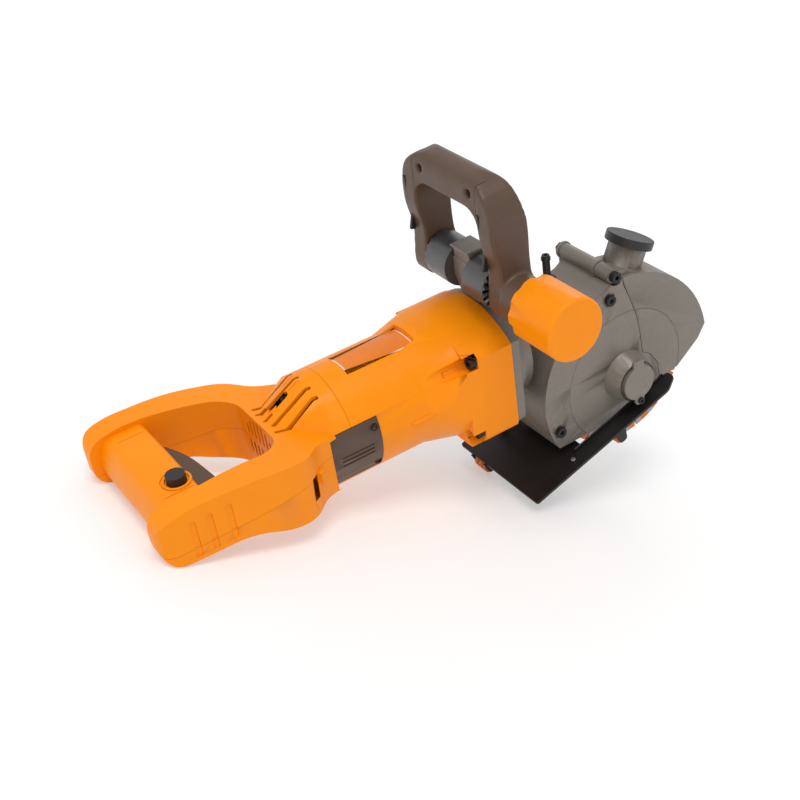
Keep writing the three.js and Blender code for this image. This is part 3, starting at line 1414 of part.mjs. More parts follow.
// ---- Build: spindle and discs ----
const spindle = groupAt(SPINDLE_X, 0, SPINDLE_Z);
piece("spindle", makeSpindle(), STEEL, spindle);
const spindleBearing = makeBearing(BEARING_RADIUS, SPINDLE_RADIUS + GAP, BEARING_WIDTH, "y");
piece("spindle_bearing_outer", spindleBearing, STEEL, spindle).position.y = HUB_END + 4;
const disc = makeDisc();
for (let i = 0; i < DISC_COUNT; i += 1) {
  const mesh = piece(`disc_${i + 1}`, disc, DISC_ORANGE, spindle);
  mesh.position.y = FIRST_DISC + i * DISC_PITCH;
  mesh.rotation.y = (i * Math.PI) / (DISC_SEGMENTS * 2);
}
piece("inner_flange", makeInnerFlange(), STEEL, spindle).position.y = LAST_DISC + DISC_THICKNESS / 2 + GAP;
piece("clamping_nut", makeClampingNut(), STEEL, spindle).position.y = FIRST_DISC - DISC_THICKNESS / 2 - GAP;

// ---- Build: guard ----
piece("guard_body", makeGuardBody(), GREY_CASTING);
piece("guard_side_cover", makeSideCover(), GREY_CASTING);
piece("front_guard", makeFrontGuard(), GREY_CASTING);
piece("hinge_bolt", makeHingeBolt(), BLACK_STEEL).position.set(HINGE_X, 0, HINGE_Z);
const guardScrew = makeGuardScrew();
GUARD_SCREWS.forEach(([x, z], i) => {
  piece(`guard_screw_${i + 1}`, guardScrew, BLACK_STEEL).position.set(x, GUARD_RIGHT, z);
});
piece("dust_port_cap", makePortCap(), BLACK_PLASTIC);
piece("water_elbow", makeElbow(), BLACK_PLASTIC);
piece("hub_cap", makeHubCap(), GREY_CASTING).position.set(SPINDLE_X, HUB_END - GAP, SPINDLE_Z);

// ---- Build: base plate ----
const base = groupAt(PLATE_PIVOT_X, 0, PLATE_PIVOT_Z);
base.rotation.y = -rad(PLATE_PITCH);
piece("base_plate", makeBasePlate(), BLACK_STEEL, base);
piece("base_pivot_bolt", makePivotBolt(), BLACK_STEEL, base);
ROLLERS.forEach(({ name, x, y, length }) => {
  piece(name, makeRoller(length), DISC_ORANGE, base).position.set(x, y, rollerZ);
});

// ---- Build: front handle ----
const front = groupAt(HANDLE_AXIS_X, 0, HANDLE_AXIS_Z);
front.rotation.y = -rad(FRONT_TILT_BACK);
piece("front_handle", makeFrontHandle(), DARK_PLASTIC, front);
piece("front_handle_cover", makeGripCover(), DARK_PLASTIC, front);
const fixed = groupAt(HANDLE_AXIS_X, 0, HANDLE_AXIS_Z);
const knobRight = -FRONT_HALF_WIDTH - HUB_BOSS - 2 - KNOB_LENGTH; // the knob's outer face
piece("handle_bracket", makeBracket(), GREY_CASTING, fixed);
const ringRoom = FRONT_HALF_WIDTH - LEG_THICKNESS - BRACKET_HALF_WIDTH - 2 * GAP;
const ring = makeToothedRing(ringRoom - 2.4, 0);
const leftRing = piece("toothed_ring_left", ring, GREY_CASTING, front);
leftRing.position.y = BRACKET_HALF_WIDTH + GAP;
const rightRing = piece("toothed_ring_right", ring, GREY_CASTING, front);
rightRing.position.y = -BRACKET_HALF_WIDTH - GAP;
rightRing.rotation.z = Math.PI;
piece(
  "handle_bolt",
  barY(BOLT_RADIUS, knobRight + KNOB_LENGTH / 2 + 2, FRONT_HALF_WIDTH + 2),
  STEEL,
  fixed,
);
piece("adjusting_knob", makeKnob(), ORANGE, fixed).position.y = knobRight + KNOB_LENGTH;

// ---- The put-down pose ----
/** The nose-up angle at which the rear handle and the rear roller stand on one level floor. */
function restPitch() {
  const tilt = rad(PLATE_PITCH);
  const [{ x }] = ROLLERS;
  const rollerX = PLATE_PIVOT_X + x * Math.cos(tilt) - rollerZ * Math.sin(tilt);
  const rollerLift = PLATE_PIVOT_Z + x * Math.sin(tilt) + rollerZ * Math.cos(tilt);
  const contact = new THREE.Vector2(handleRear + 12, -4);
  const reach = new THREE.Vector2(rollerX, rollerLift).sub(contact);
  return Math.asin(ROLLER_RADIUS / reach.length()) - Math.atan2(reach.y, reach.x);
}

const machine = new THREE.Group();
tool.rotation.y = -restPitch();
machine.add(tool);
machine.updateMatrixWorld(true);
const bounds = new THREE.Box3().setFromObject(machine, true);
const middle = bounds.getCenter(new THREE.Vector3());
tool.position.set(-middle.x, -middle.y, -bounds.min.z);

export default machine;
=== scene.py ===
"""Looks of a wall chaser: moulded shells, castings, diamond discs and a folded base plate.

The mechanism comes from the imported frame. Each visible piece is modelled on the bench, which is the
tool's own frame in millimetres (+X from the rear handle to the discs, +Y to the tool's left, +Z up from
the motor axis, origin on the motor axis at the flange), and is then put in its place in metres.
"""

import json
import logging
import math
from dataclasses import dataclass, field
from enum import Enum
from typing import Callable, Iterable, Sequence

import bpy
from mathutils import Matrix, Vector


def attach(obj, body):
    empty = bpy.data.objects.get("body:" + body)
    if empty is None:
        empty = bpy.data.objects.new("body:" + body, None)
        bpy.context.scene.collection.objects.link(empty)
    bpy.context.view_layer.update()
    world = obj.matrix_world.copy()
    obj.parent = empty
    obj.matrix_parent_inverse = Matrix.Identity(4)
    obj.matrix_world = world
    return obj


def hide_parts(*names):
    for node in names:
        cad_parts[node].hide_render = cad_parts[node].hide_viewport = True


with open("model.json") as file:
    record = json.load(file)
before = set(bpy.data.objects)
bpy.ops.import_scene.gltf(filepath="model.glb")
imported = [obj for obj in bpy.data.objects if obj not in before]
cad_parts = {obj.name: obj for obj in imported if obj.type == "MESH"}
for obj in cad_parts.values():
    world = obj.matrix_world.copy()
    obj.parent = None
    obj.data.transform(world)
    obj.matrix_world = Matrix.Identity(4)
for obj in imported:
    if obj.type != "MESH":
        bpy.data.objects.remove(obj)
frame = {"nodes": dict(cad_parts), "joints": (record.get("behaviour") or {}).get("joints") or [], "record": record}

log = logging.getLogger("wall_chaser")
MM = 0.001
Point = tuple[float, float, float]
Colour = tuple[float, float, float]


class Axis(Enum):
    """An axis of the bench."""

    X = 0
    Y = 1
    Z = 2


# ---------------------------------------------------------------- the bench


@dataclass(frozen=True)
class Bench:
    """The tool's own frame, in millimetres, and its place in the row frame."""

    to_row: Matrix

    @staticmethod
    def from_frame() -> "Bench":
        """The bench from the motor's joint, whose point and axis are the bench's origin and X.

        Returns:
            The bench.
        """
        motor = next(j for j in frame["joints"] if j["name"] == "armature_spin")
        x = Vector(motor["axis"]).normalized()
        y = Vector((0.0, 1.0, 0.0))
        z = x.cross(y)
        turn = Matrix((x, y, z)).transposed().to_4x4()
        return Bench(Matrix.Translation(motor["pos_m"]) @ turn @ Matrix.Scale(MM, 4))

    def place(self, piece: bpy.types.Object) -> None:
        """Puts a piece modelled on the bench in its place in the row frame.

        Args:
            piece: The piece, whose object sits at the origin.
        """
        piece.data.transform(self.to_row)

    def fetch(self, node: str, name: str) -> bpy.types.Object:
        """A merged copy of a CAD node, on the bench.

        Args:
            node: The CAD node.
            name: The new piece's name.

        Returns:
            The copy.
        """
        source = frame["nodes"][node]
        piece = bpy.data.objects.new(name, source.data.copy())
        bpy.context.scene.collection.objects.link(piece)
        piece.data.materials.clear()
        piece.data.transform(self.to_row.inverted())
        activate(piece)
        bpy.ops.object.mode_set(mode="EDIT")
        bpy.ops.mesh.select_all(action="SELECT")
        bpy.ops.mesh.remove_doubles(threshold=0.01)
        bpy.ops.mesh.dissolve_limited(angle_limit=math.radians(0.5))
        bpy.ops.object.mode_set(mode="OBJECT")
        return piece

    def anchor(self, body_joint: str) -> Vector:
        """A joint's point, on the bench.

        Args:
            body_joint: The joint's name.

        Returns:
            The point.
        """
        joint = next(j for j in frame["joints"] if j["name"] == body_joint)
        return self.to_row.inverted() @ Vector(joint["pos_m"])


def activate(piece: bpy.types.Object) -> None:
    """Selects one piece alone and makes it active.

    Args:
        piece: The piece.
    """
    bpy.ops.object.select_all(action="DESELECT")
    piece.select_set(True)
    bpy.context.view_layer.objects.active = piece


def settle(piece: bpy.types.Object, name: str) -> bpy.types.Object:
    """Names a fresh primitive and moves its place into its mesh.

    Args:
        piece: The primitive.
        name: Its name.

    Returns:
        The same piece.
    """
    piece.name = name
    piece.data.name = name
    activate(piece)
    bpy.ops.object.transform_apply(location=True, rotation=True, scale=True)
    return piece


TURN = {Axis.X: (0.0, math.pi / 2, 0.0), Axis.Y: (math.pi / 2, 0.0, 0.0), Axis.Z: (0.0, 0.0, 0.0)}


def round_bar(
    name: str, radius: float, length: float, at: Point, axis: Axis, sides: int = 48
) -> bpy.types.Object:
    """A round bar centred on a point.

    Args:
        name: The piece's name.
        radius: Its radius.
        length: Its length.
        at: Its centre.
        axis: The axis that it lies along.
        sides: The number of its sides.

    Returns:
        The bar.
    """
    bpy.ops.object.select_all(action="DESELECT")
    bpy.ops.mesh.primitive_cylinder_add(
        vertices=sides, radius=radius, depth=length, location=at, rotation=TURN[axis]
    )
    return settle(bpy.context.object, name)


def block(name: str, size: Point, at: Point, turn: Point = (0.0, 0.0, 0.0)) -> bpy.types.Object:
    """A box centred on a point.

    Args:
        name: The piece's name.
        size: Its size along each axis.
        at: Its centre.
        turn: Its rotation.

    Returns:
        The box.
    """
    bpy.ops.object.select_all(action="DESELECT")
    bpy.ops.mesh.primitive_cube_add(size=1.0, location=at, rotation=turn, scale=size)
    return settle(bpy.context.object, name)


def ring(name: str, radius: float, wire: float, at: Point, axis: Axis, sides: int = 64) -> bpy.types.Object:
    """A torus centred on a point.

    Args:
        name: The piece's name.
        radius: Its middle radius.
        wire: The radius of its section.
        at: Its centre.
        axis: Its axis.
        sides: Steps round it.

    Returns:
        The torus.
    """
    bpy.ops.object.select_all(action="DESELECT")
    bpy.ops.mesh.primitive_torus_add(
        location=at,
        rotation=TURN[axis],
        major_radius=radius,
        minor_radius=wire,
        major_segments=sides,
        minor_segments=10,
    )
    return settle(bpy.context.object, name)


def slot_cutter(
    name: str, start: Point, end: Point, width: float, depth: float, up: Point
) -> bpy.types.Object:
    """A round-ended slot's cutter between two points.

    Args:
        name: The piece's name.
        start: The centre of one end.
        end: The centre of the other end.
        width: The slot's width.
        depth: How far it reaches each way along up.
        up: The way out of the surface.

    Returns:
        The cutter.
    """
    a, b, out = Vector(start), Vector(end), Vector(up).normalized()
    along = (b - a).normalized()
    side = out.cross(along).normalized()
    out = along.cross(side)
    turn = Matrix((along, side, out)).transposed().to_4x4()
    bpy.ops.object.select_all(action="DESELECT")
    bpy.ops.mesh.primitive_cube_add(size=1.0, scale=((b - a).length + width, width, 2 * depth))
    piece = settle(bpy.context.object, name)
    corners = piece.modifiers.new("ends", "BEVEL")
    corners.affect = "EDGES"
    corners.width = width * 0.49
    corners.segments = 4
    corners.limit_method = "WEIGHT"
    weights = piece.data.attributes.new("bevel_weight_edge", "FLOAT", "EDGE")
    for edge in piece.data.edges:
        run = piece.data.vertices[edge.vertices[0]].co - piece.data.vertices[edge.vertices[1]].co
        weights.data[edge.index].value = 1.0 if abs(run.z) > depth else 0.0
    apply_modifiers(piece)
    piece.data.transform(Matrix.Translation((a + b) / 2) @ turn)
    return piece


def apply_modifiers(piece: bpy.types.Object) -> None:
    """Applies all of a piece's modifiers in order.

    Args:
        piece: The piece.
    """
    activate(piece)
    for modifier in list(piece.modifiers):
        bpy.ops.object.modifier_apply(modifier=modifier.name)


def merge(name: str, pieces: Sequence[bpy.types.Object]) -> bpy.types.Object:
    """Joins objects into one, as separate shells of one mesh.

    Args:
        name: The joined piece's name.
        pieces: The objects.

    Returns:
        The joined piece.
    """
    bpy.ops.object.select_all(action="DESELECT")
    for piece in pieces:
        piece.select_set(True)
    bpy.context.view_layer.objects.active = pieces[0]
    if len(pieces) > 1:
        bpy.ops.object.join()
    pieces[0].name = name
    return pieces[0]


class Cut(Enum):
    """What a boolean does with the other piece."""

    AWAY = "DIFFERENCE"
    ON = "UNION"


def combine(piece: bpy.types.Object, others: Sequence[bpy.types.Object], how: Cut) -> None:
    """Cuts pieces out of one, or adds them to it, and deletes them.

    Args:
        piece: The piece that stays.
        others: The pieces that are used up.
        how: Whether they are cut away or added.
    """
    for other in others:
        modifier = piece.modifiers.new("shape", "BOOLEAN")
        modifier.operation = how.value
        modifier.solver = "EXACT"
        modifier.object = other
        activate(piece)
        bpy.ops.object.modifier_apply(modifier=modifier.name)
        bpy.data.objects.remove(other)


def soften(piece: bpy.types.Object, width: float, angle: float = 40.0, segments: int = 2) -> None:
    """Rounds a piece's sharp edges and smooths its shading.

    Args:
        piece: The piece.
        width: The width of the rounding.
        angle: The least angle of an edge that is rounded, in degrees.
        segments: Steps across each rounding.
    """
    if width > 0:
        bevel = piece.modifiers.new("rounding", "BEVEL")
        bevel.width = width
        bevel.segments = segments
        bevel.limit_method = "ANGLE"
        bevel.angle_limit = math.radians(angle)
        bevel.use_clamp_overlap = True
        bevel.miter_outer = "MITER_ARC"
        apply_modifiers(piece)
    activate(piece)
    bpy.ops.object.shade_smooth_by_angle(angle=math.radians(angle))
    even = piece.modifiers.new("even shading", "WEIGHTED_NORMAL")
    even.keep_sharp = True
    even.weight = 80
    apply_modifiers(piece)


def round_edges(
    piece: bpy.types.Object, width: float, pick: Callable[[Vector], bool], segments: int = 4
) -> None:
    """Gives chosen sharp edges a large rounding.

    Args:
        piece: The piece.
        width: The width of the rounding.
        pick: Says of an edge's end whether the edge may be rounded; both ends must pass.
        segments: Steps across the rounding.
    """
    mesh = piece.data
    faces: dict[int, list[Vector]] = {}
    for face in mesh.polygons:
        for loop in face.loop_indices:
            faces.setdefault(mesh.loops[loop].edge_index, []).append(face.normal)
    weights = mesh.attributes.get("bevel_weight_edge")
    if weights is None:
        weights = mesh.attributes.new("bevel_weight_edge", "FLOAT", "EDGE")
    for edge in mesh.edges:
        normals = faces.get(edge.index, [])
        sharp = len(normals) == 2 and normals[0].length and normals[1].length
        sharp = sharp and math.degrees(normals[0].angle(normals[1], 0.0)) > 48.0
        chosen = sharp and all(pick(mesh.vertices[i].co) for i in edge.vertices)
        weights.data[edge.index].value = 1.0 if chosen else 0.0
    bevel = piece.modifiers.new("large rounding", "BEVEL")
    bevel.width = width
    bevel.segments = segments
    bevel.limit_method = "WEIGHT"
    bevel.use_clamp_overlap = True
    bevel.miter_outer = "MITER_ARC"
    apply_modifiers(piece)


# ---------------------------------------------------------------- finishes


@dataclass
class Nodes:
    """A short way to write a material's nodes."""

    material: bpy.types.Material

    def add(self, kind: str, **values: object) -> bpy.types.Node:
        """Adds a node and sets its properties and unlinked inputs.

        Args:
            kind: The node's type.
            values: Property or input names, with underscores for spaces.

        Returns:
            The node.
        """
        node = self.material.node_tree.nodes.new(kind)
        for key, value in values.items():
            name = key.replace("_", " ")
            if name in node.inputs:
                node.inputs[name].default_value = value
            else:
                setattr(node, key, value)
        return node

    def link(self, source: bpy.types.NodeSocket, target: bpy.types.NodeSocket) -> None:
        """Links two sockets."""
        self.material.node_tree.links.new(source, target)

    def noise(self, scale: float, detail: float = 3.0, roughness: float = 0.5) -> bpy.types.NodeSocket:
        """Noise over the object's own coordinates.

        Args:
            scale: Features per metre.
            detail: Octaves.
            roughness: How strong the fine octaves are.

        Returns:
            The noise value.
        """
        texture = self.add("ShaderNodeTexNoise", Scale=scale, Detail=detail, Roughness=roughness)
        self.link(self.coordinates(), texture.inputs["Vector"])
        return texture.outputs["Fac"]

    def coordinates(self) -> bpy.types.NodeSocket:
        """The object's own coordinates."""
        return self.add("ShaderNodeTexCoord").outputs["Object"]

    def spread(
        self, value: bpy.types.NodeSocket, low: float, high: float, to: tuple[float, float]
    ) -> bpy.types.NodeSocket:
        """Maps a value from one range to another.

        Args:
            value: The value.
            low: The value that gives the range's start.
            high: The value that gives its end.
            to: The range.

        Returns:
            The mapped value, held inside the range.
        """
        node = self.add("ShaderNodeMapRange")
        self.link(value, node.inputs["Value"])
        node.inputs["From Min"].default_value = low
        node.inputs["From Max"].default_value = high
        node.inputs["To Min"].default_value = to[0]
        node.inputs["To Max"].default_value = to[1]
        return node.outputs["Result"]

    def mix(self, share: bpy.types.NodeSocket, a: object, b: object) -> bpy.types.NodeSocket:
        """Mixes two colours, each a value or a socket.

        Args:
            share: How much of the second shows.
            a: The first colour.
            b: The second colour.

        Returns:
            The mixed colour.
        """
        node = self.add("ShaderNodeMix", data_type="RGBA")
        self.link(share, node.inputs[0])
        for socket, colour in ((node.inputs[6], a), (node.inputs[7], b)):
            if isinstance(colour, bpy.types.NodeSocket):
                self.link(colour, socket)
            else:
                socket.default_value = (*colour, 1.0)
        return node.outputs[2]

    def bump(self, height: bpy.types.NodeSocket, strength: float, distance: float) -> bpy.types.NodeSocket:
        """A bumped normal.

        Args:
            height: The height value.
            strength: How much of it shows.
            distance: What a height of one is, in metres.

        Returns:
            The normal.
        """
        node = self.add("ShaderNodeBump", Strength=strength, Distance=distance)
        self.link(height, node.inputs["Height"])
        return node.outputs["Normal"]


@dataclass(frozen=True)
class Finish:
    """What every finish has: its name, base colour and a way to make its material."""

    name: str
    colour: Colour
    roughness: float = 0.4

    def surface(self, nodes: Nodes, shader: bpy.types.Node) -> None:
        """Sets the shader's sockets.

        Args:
            nodes: The material's nodes.
            shader: The Principled shader.
        """
        raise NotImplementedError

    def make(self) -> bpy.types.Material:
        """Makes the material.

        Returns:
            The material.
        """
        material = bpy.data.materials.new(self.name)
        material.use_nodes = True
        self.surface(Nodes(material), material.node_tree.nodes["Principled BSDF"])
        return material


@dataclass(frozen=True)
class Moulding(Finish):
    """Moulded nylon: a fine spark-eroded texture, faint flow marks and grime in broad patches."""

    grain: float = 1500.0
    grain_depth: float = 0.00006
    shade: float = 0.82
    gloss: float = 0.4

    def surface(self, nodes: Nodes, shader: bpy.types.Node) -> None:
        """Sets the shader's sockets; see Finish.surface."""
        dark = tuple(c * self.shade for c in self.colour)
        grime = nodes.spread(nodes.noise(14.0, 5.0, 0.62), 0.42, 0.72, (0.0, 1.0))
        tone = nodes.mix(grime, self.colour, dark)
        specks = nodes.spread(nodes.noise(900.0, 2.0), 0.66, 0.74, (0.0, 0.35))
        pale = tuple(min(1.0, c * 1.12 + 0.012) for c in self.colour)
        nodes.link(nodes.mix(specks, tone, pale), shader.inputs["Base Color"])
        wear = (self.roughness - 0.05, self.roughness + 0.08)
        rough = nodes.spread(nodes.noise(60.0, 4.0, 0.6), 0.3, 0.7, wear)
        nodes.link(rough, shader.inputs["Roughness"])
        nodes.link(nodes.bump(nodes.noise(self.grain, 2.0), 0.5, self.grain_depth), shader.inputs["Normal"])
        shader.inputs["Specular IOR Level"].default_value = self.gloss


@dataclass(frozen=True)
class Casting(Finish):
    """Metallic paint on a die casting: flakes, a slight orange peel and scuffs."""

    metallic: float = 0.55
    scuff: Colour = (0.34, 0.33, 0.32)

    def surface(self, nodes: Nodes, shader: bpy.types.Node) -> None:
        """Sets the shader's sockets; see Finish.surface."""
        flakes = nodes.spread(nodes.noise(2600.0, 1.0), 0.4, 0.68, (0.0, 1.0))
        dark = tuple(c * 0.86 for c in self.colour)
        light = tuple(c * 1.16 for c in self.colour)
        tone = nodes.mix(flakes, dark, light)
        wear = nodes.spread(nodes.noise(48.0, 9.0, 0.72), 0.66, 0.74, (0.0, 0.3))
        nodes.link(nodes.mix(wear, tone, self.scuff), shader.inputs["Base Color"])
        shader.inputs["Metallic"].default_value = self.metallic
        wear = (self.roughness - 0.06, self.roughness + 0.1)
        rough = nodes.spread(nodes.noise(85.0, 5.0, 0.6), 0.3, 0.7, wear)
        nodes.link(rough, shader.inputs["Roughness"])
        nodes.link(nodes.bump(nodes.noise(520.0, 3.0, 0.55), 0.3, 0.00007), shader.inputs["Normal"])


@dataclass(frozen=True)
class Steel(Finish):
    """Bare or blackened steel with fine tooling lines across X."""

    metallic: float = 1.0
    lines: float = 900.0

    def surface(self, nodes: Nodes, shader: bpy.types.Node) -> None:
        """Sets the shader's sockets; see Finish.surface."""
        stretch = nodes.add("ShaderNodeMapping")
        stretch.inputs["Scale"].default_value = (1.0, 0.06, 1.0)
        nodes.link(nodes.coordinates(), stretch.inputs["Vector"])
        grain = nodes.add("ShaderNodeTexNoise", Scale=self.lines, Detail=3.0)
        nodes.link(stretch.outputs["Vector"], grain.inputs["Vector"])
        dark = tuple(c * 0.7 for c in self.colour)
        tint = nodes.spread(nodes.noise(30.0, 5.0, 0.6), 0.35, 0.7, (0.0, 1.0))
        nodes.link(nodes.mix(tint, self.colour, dark), shader.inputs["Base Color"])
        shader.inputs["Metallic"].default_value = self.metallic
        rough = nodes.spread(grain.outputs["Fac"], 0.3, 0.7, (self.roughness - 0.07, self.roughness + 0.1))
        nodes.link(rough, shader.inputs["Roughness"])
        nodes.link(nodes.bump(grain.outputs["Fac"], 0.25, 0.00005), shader.inputs["Normal"])


@dataclass(frozen=True)
class DiscPaint(Finish):
    """Painted disc: worn orange paint on the plate and gritty grey diamond metal at the rim."""

    centre: tuple[float, float] = (0.0, 0.0)
    rim: float = 0.06
    bands: int = 28
    grit: Colour = (0.3, 0.29, 0.28)

    def surface(self, nodes: Nodes, shader: bpy.types.Node) -> None:
        """Sets the shader's sockets; see Finish.surface."""
        centred = nodes.add("ShaderNodeMapping")
        centred.inputs["Location"].default_value = (-self.centre[0], 0.0, -self.centre[1])
        centred.inputs["Scale"].default_value = (1.0, 0.0, 1.0)
        nodes.link(nodes.coordinates(), centred.inputs["Vector"])
        length = nodes.add("ShaderNodeVectorMath", operation="LENGTH")
        nodes.link(centred.outputs["Vector"], length.inputs[0])
        radius = length.outputs["Value"]
        parts = nodes.add("ShaderNodeSeparateXYZ")
        nodes.link(centred.outputs["Vector"], parts.inputs["Vector"])
        angle = nodes.add("ShaderNodeMath", operation="ARCTAN2")
        nodes.link(parts.outputs["Z"], angle.inputs[0])
        nodes.link(parts.outputs["X"], angle.inputs[1])
        wave = nodes.add("ShaderNodeMath", operation="MULTIPLY")
        nodes.link(angle.outputs["Value"], wave.inputs[0])
        wave.inputs[1].default_value = float(self.bands)
        cosine = nodes.add("ShaderNodeMath", operation="COSINE")
        nodes.link(wave.outputs["Value"], cosine.inputs[0])
        band = nodes.spread(cosine.outputs["Value"], 0.3, 0.4, (0.0, 1.0))
        outer = nodes.spread(radius, self.rim - 0.0004, self.rim + 0.0004, (0.0, 1.0))
        both = nodes.add("ShaderNodeMath", operation="MULTIPLY")
        nodes.link(band, both.inputs[0])
        nodes.link(outer, both.inputs[1])
        segment = both.outputs["Value"]
        chips = nodes.spread(nodes.noise(210.0, 8.0, 0.7), 0.57, 0.63, (0.0, 0.8))
        bare = nodes.mix(chips, self.colour, (0.36, 0.33, 0.3))
        grains = nodes.spread(nodes.noise(1900.0, 2.0), 0.35, 0.7, (0.0, 1.0))
        gritty = nodes.mix(grains, self.grit, tuple(c * 1.9 for c in self.grit))
        nodes.link(nodes.mix(segment, bare, gritty), shader.inputs["Base Color"])
        shader.inputs["Metallic"].default_value = 0.25
        nodes.link(nodes.spread(segment, 0.0, 1.0, (self.roughness, 0.72)), shader.inputs["Roughness"])
        nodes.link(nodes.bump(grains, 0.4, 0.0001), shader.inputs["Normal"])


@dataclass
class Finishes:
    """All the finishes of the tool, made once, by material slot."""

    bench: Bench
    made: dict[str, bpy.types.Material] = field(default_factory=dict)

    def prepare(self) -> None:
        """Makes each slot's material."""
        spindle = self.bench.to_row @ self.bench.anchor("spindle_spin")
        kinds: dict[str, Finish] = {
            "orange_plastic": Moulding("orange_nylon", (0.93, 0.27, 0.001), 0.34, shade=0.94, gloss=0.17),
            "dark_plastic": Moulding("brown_nylon", (0.1, 0.06, 0.039), 0.38, gloss=0.35),
            "black_plastic": Moulding("black_nylon", (0.022, 0.02, 0.02), 0.42),
            "grey_casting": Casting("grey_casting_paint", (0.215, 0.187, 0.16), 0.42, metallic=0.3),
            "toothed_metal": Casting("toothed_metal_paint", (0.13, 0.13, 0.13), 0.38, metallic=0.7),
            "black_steel": Steel("black_steel", (0.028, 0.026, 0.026), 0.36, metallic=0.6),
            "steel": Steel("turned_steel", (0.52, 0.52, 0.53), 0.3),
            "lamination": Steel("laminations", (0.22, 0.22, 0.24), 0.45),
            "copper": Steel("turned_copper", (0.68, 0.3, 0.14), 0.28),
            "carbon": Moulding("pressed_carbon", (0.03, 0.03, 0.032), 0.6),
            "disc_paint": DiscPaint(
                "disc_paint", (0.62, 0.17, 0.02), 0.5, centre=(spindle.x, spindle.z), rim=0.0595
            ),
            "roller_plastic": Moulding("roller_nylon", (0.66, 0.17, 0.012), 0.42),
            "plate_border": Moulding("plate_border", (0.8, 0.76, 0.7), 0.4),
            "name_plate": Moulding("plate_film", (0.8, 0.2, 0.01), 0.28),
        }
        self.made = {slot: kind.make() for slot, kind in kinds.items()}

    def __getitem__(self, slot: str) -> bpy.types.Material:
        """The slot's material."""
        return self.made[slot]


# ---------------------------------------------------------------- sub-assemblies


@dataclass
class SubAssembly:
    """A group of pieces that is modelled on the bench and then placed."""

    bench: Bench
    finishes: Finishes

    def fit(self, piece: bpy.types.Object, body: str, slot: str, *nodes: str) -> bpy.types.Object:
        """Args:
            piece: The piece, on the bench.
            body: The body that it moves with.
            slot: Its material slot.
            nodes: The CAD nodes that it stands for.

        Returns:
            The piece.
        """
        self.bench.place(piece)
        piece.data.materials.clear()
        piece.data.materials.append(self.finishes[slot])
        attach(piece, body)
        if nodes:
            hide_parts(*nodes)
        log.info("%s: %d faces on %s", piece.name, len(piece.data.polygons), body)
        return piece

    def reshape(
        self,
        node: str,
        body: str,
        slot: str,
        width: float,
        work: Callable[[bpy.types.Object], None] | None = None,
    ) -> bpy.types.Object:
        """Rounds and details a CAD node's shape and lets it stand for the node.

        Args:
            node: The CAD node.
            body: Its body.
            slot: Its material slot.
            width: The rounding of its edges.
            work: More shaping, done before the rounding.

        Returns:
            The new piece.
        """
        piece = self.bench.fetch(node, node + "_finished")
        if work:
            work(piece)
        soften(piece, width)
        return self.fit(piece, body, slot, node)

    def socket_screw(
        self, name: str, at: Point, axis: Axis, out: int, radius: float, slot: str = "black_steel"
    ) -> bpy.types.Object:
        """A cap-head screw with a hexagon socket and a rounded rim.

        Args:
            name: The piece's name.
            at: The centre of its bearing face.
            axis: Its axis.
            out: +1 or -1, the way its head points along the axis.
            radius: The head's radius.
            slot: Its material slot.

        Returns:
            The screw.
        """
        height = radius * 0.8
        centre = list(at)
        centre[axis.value] += out * height / 2
        head = round_bar(name, radius, height, tuple(centre), axis, 32)
        centre[axis.value] += out * height / 2
        socket = round_bar(name + "_socket", radius * 0.52, height, tuple(centre), axis, 6)
        combine(head, [socket], Cut.AWAY)
        soften(head, radius * 0.12)
        return self.fit(head, "machine", slot)


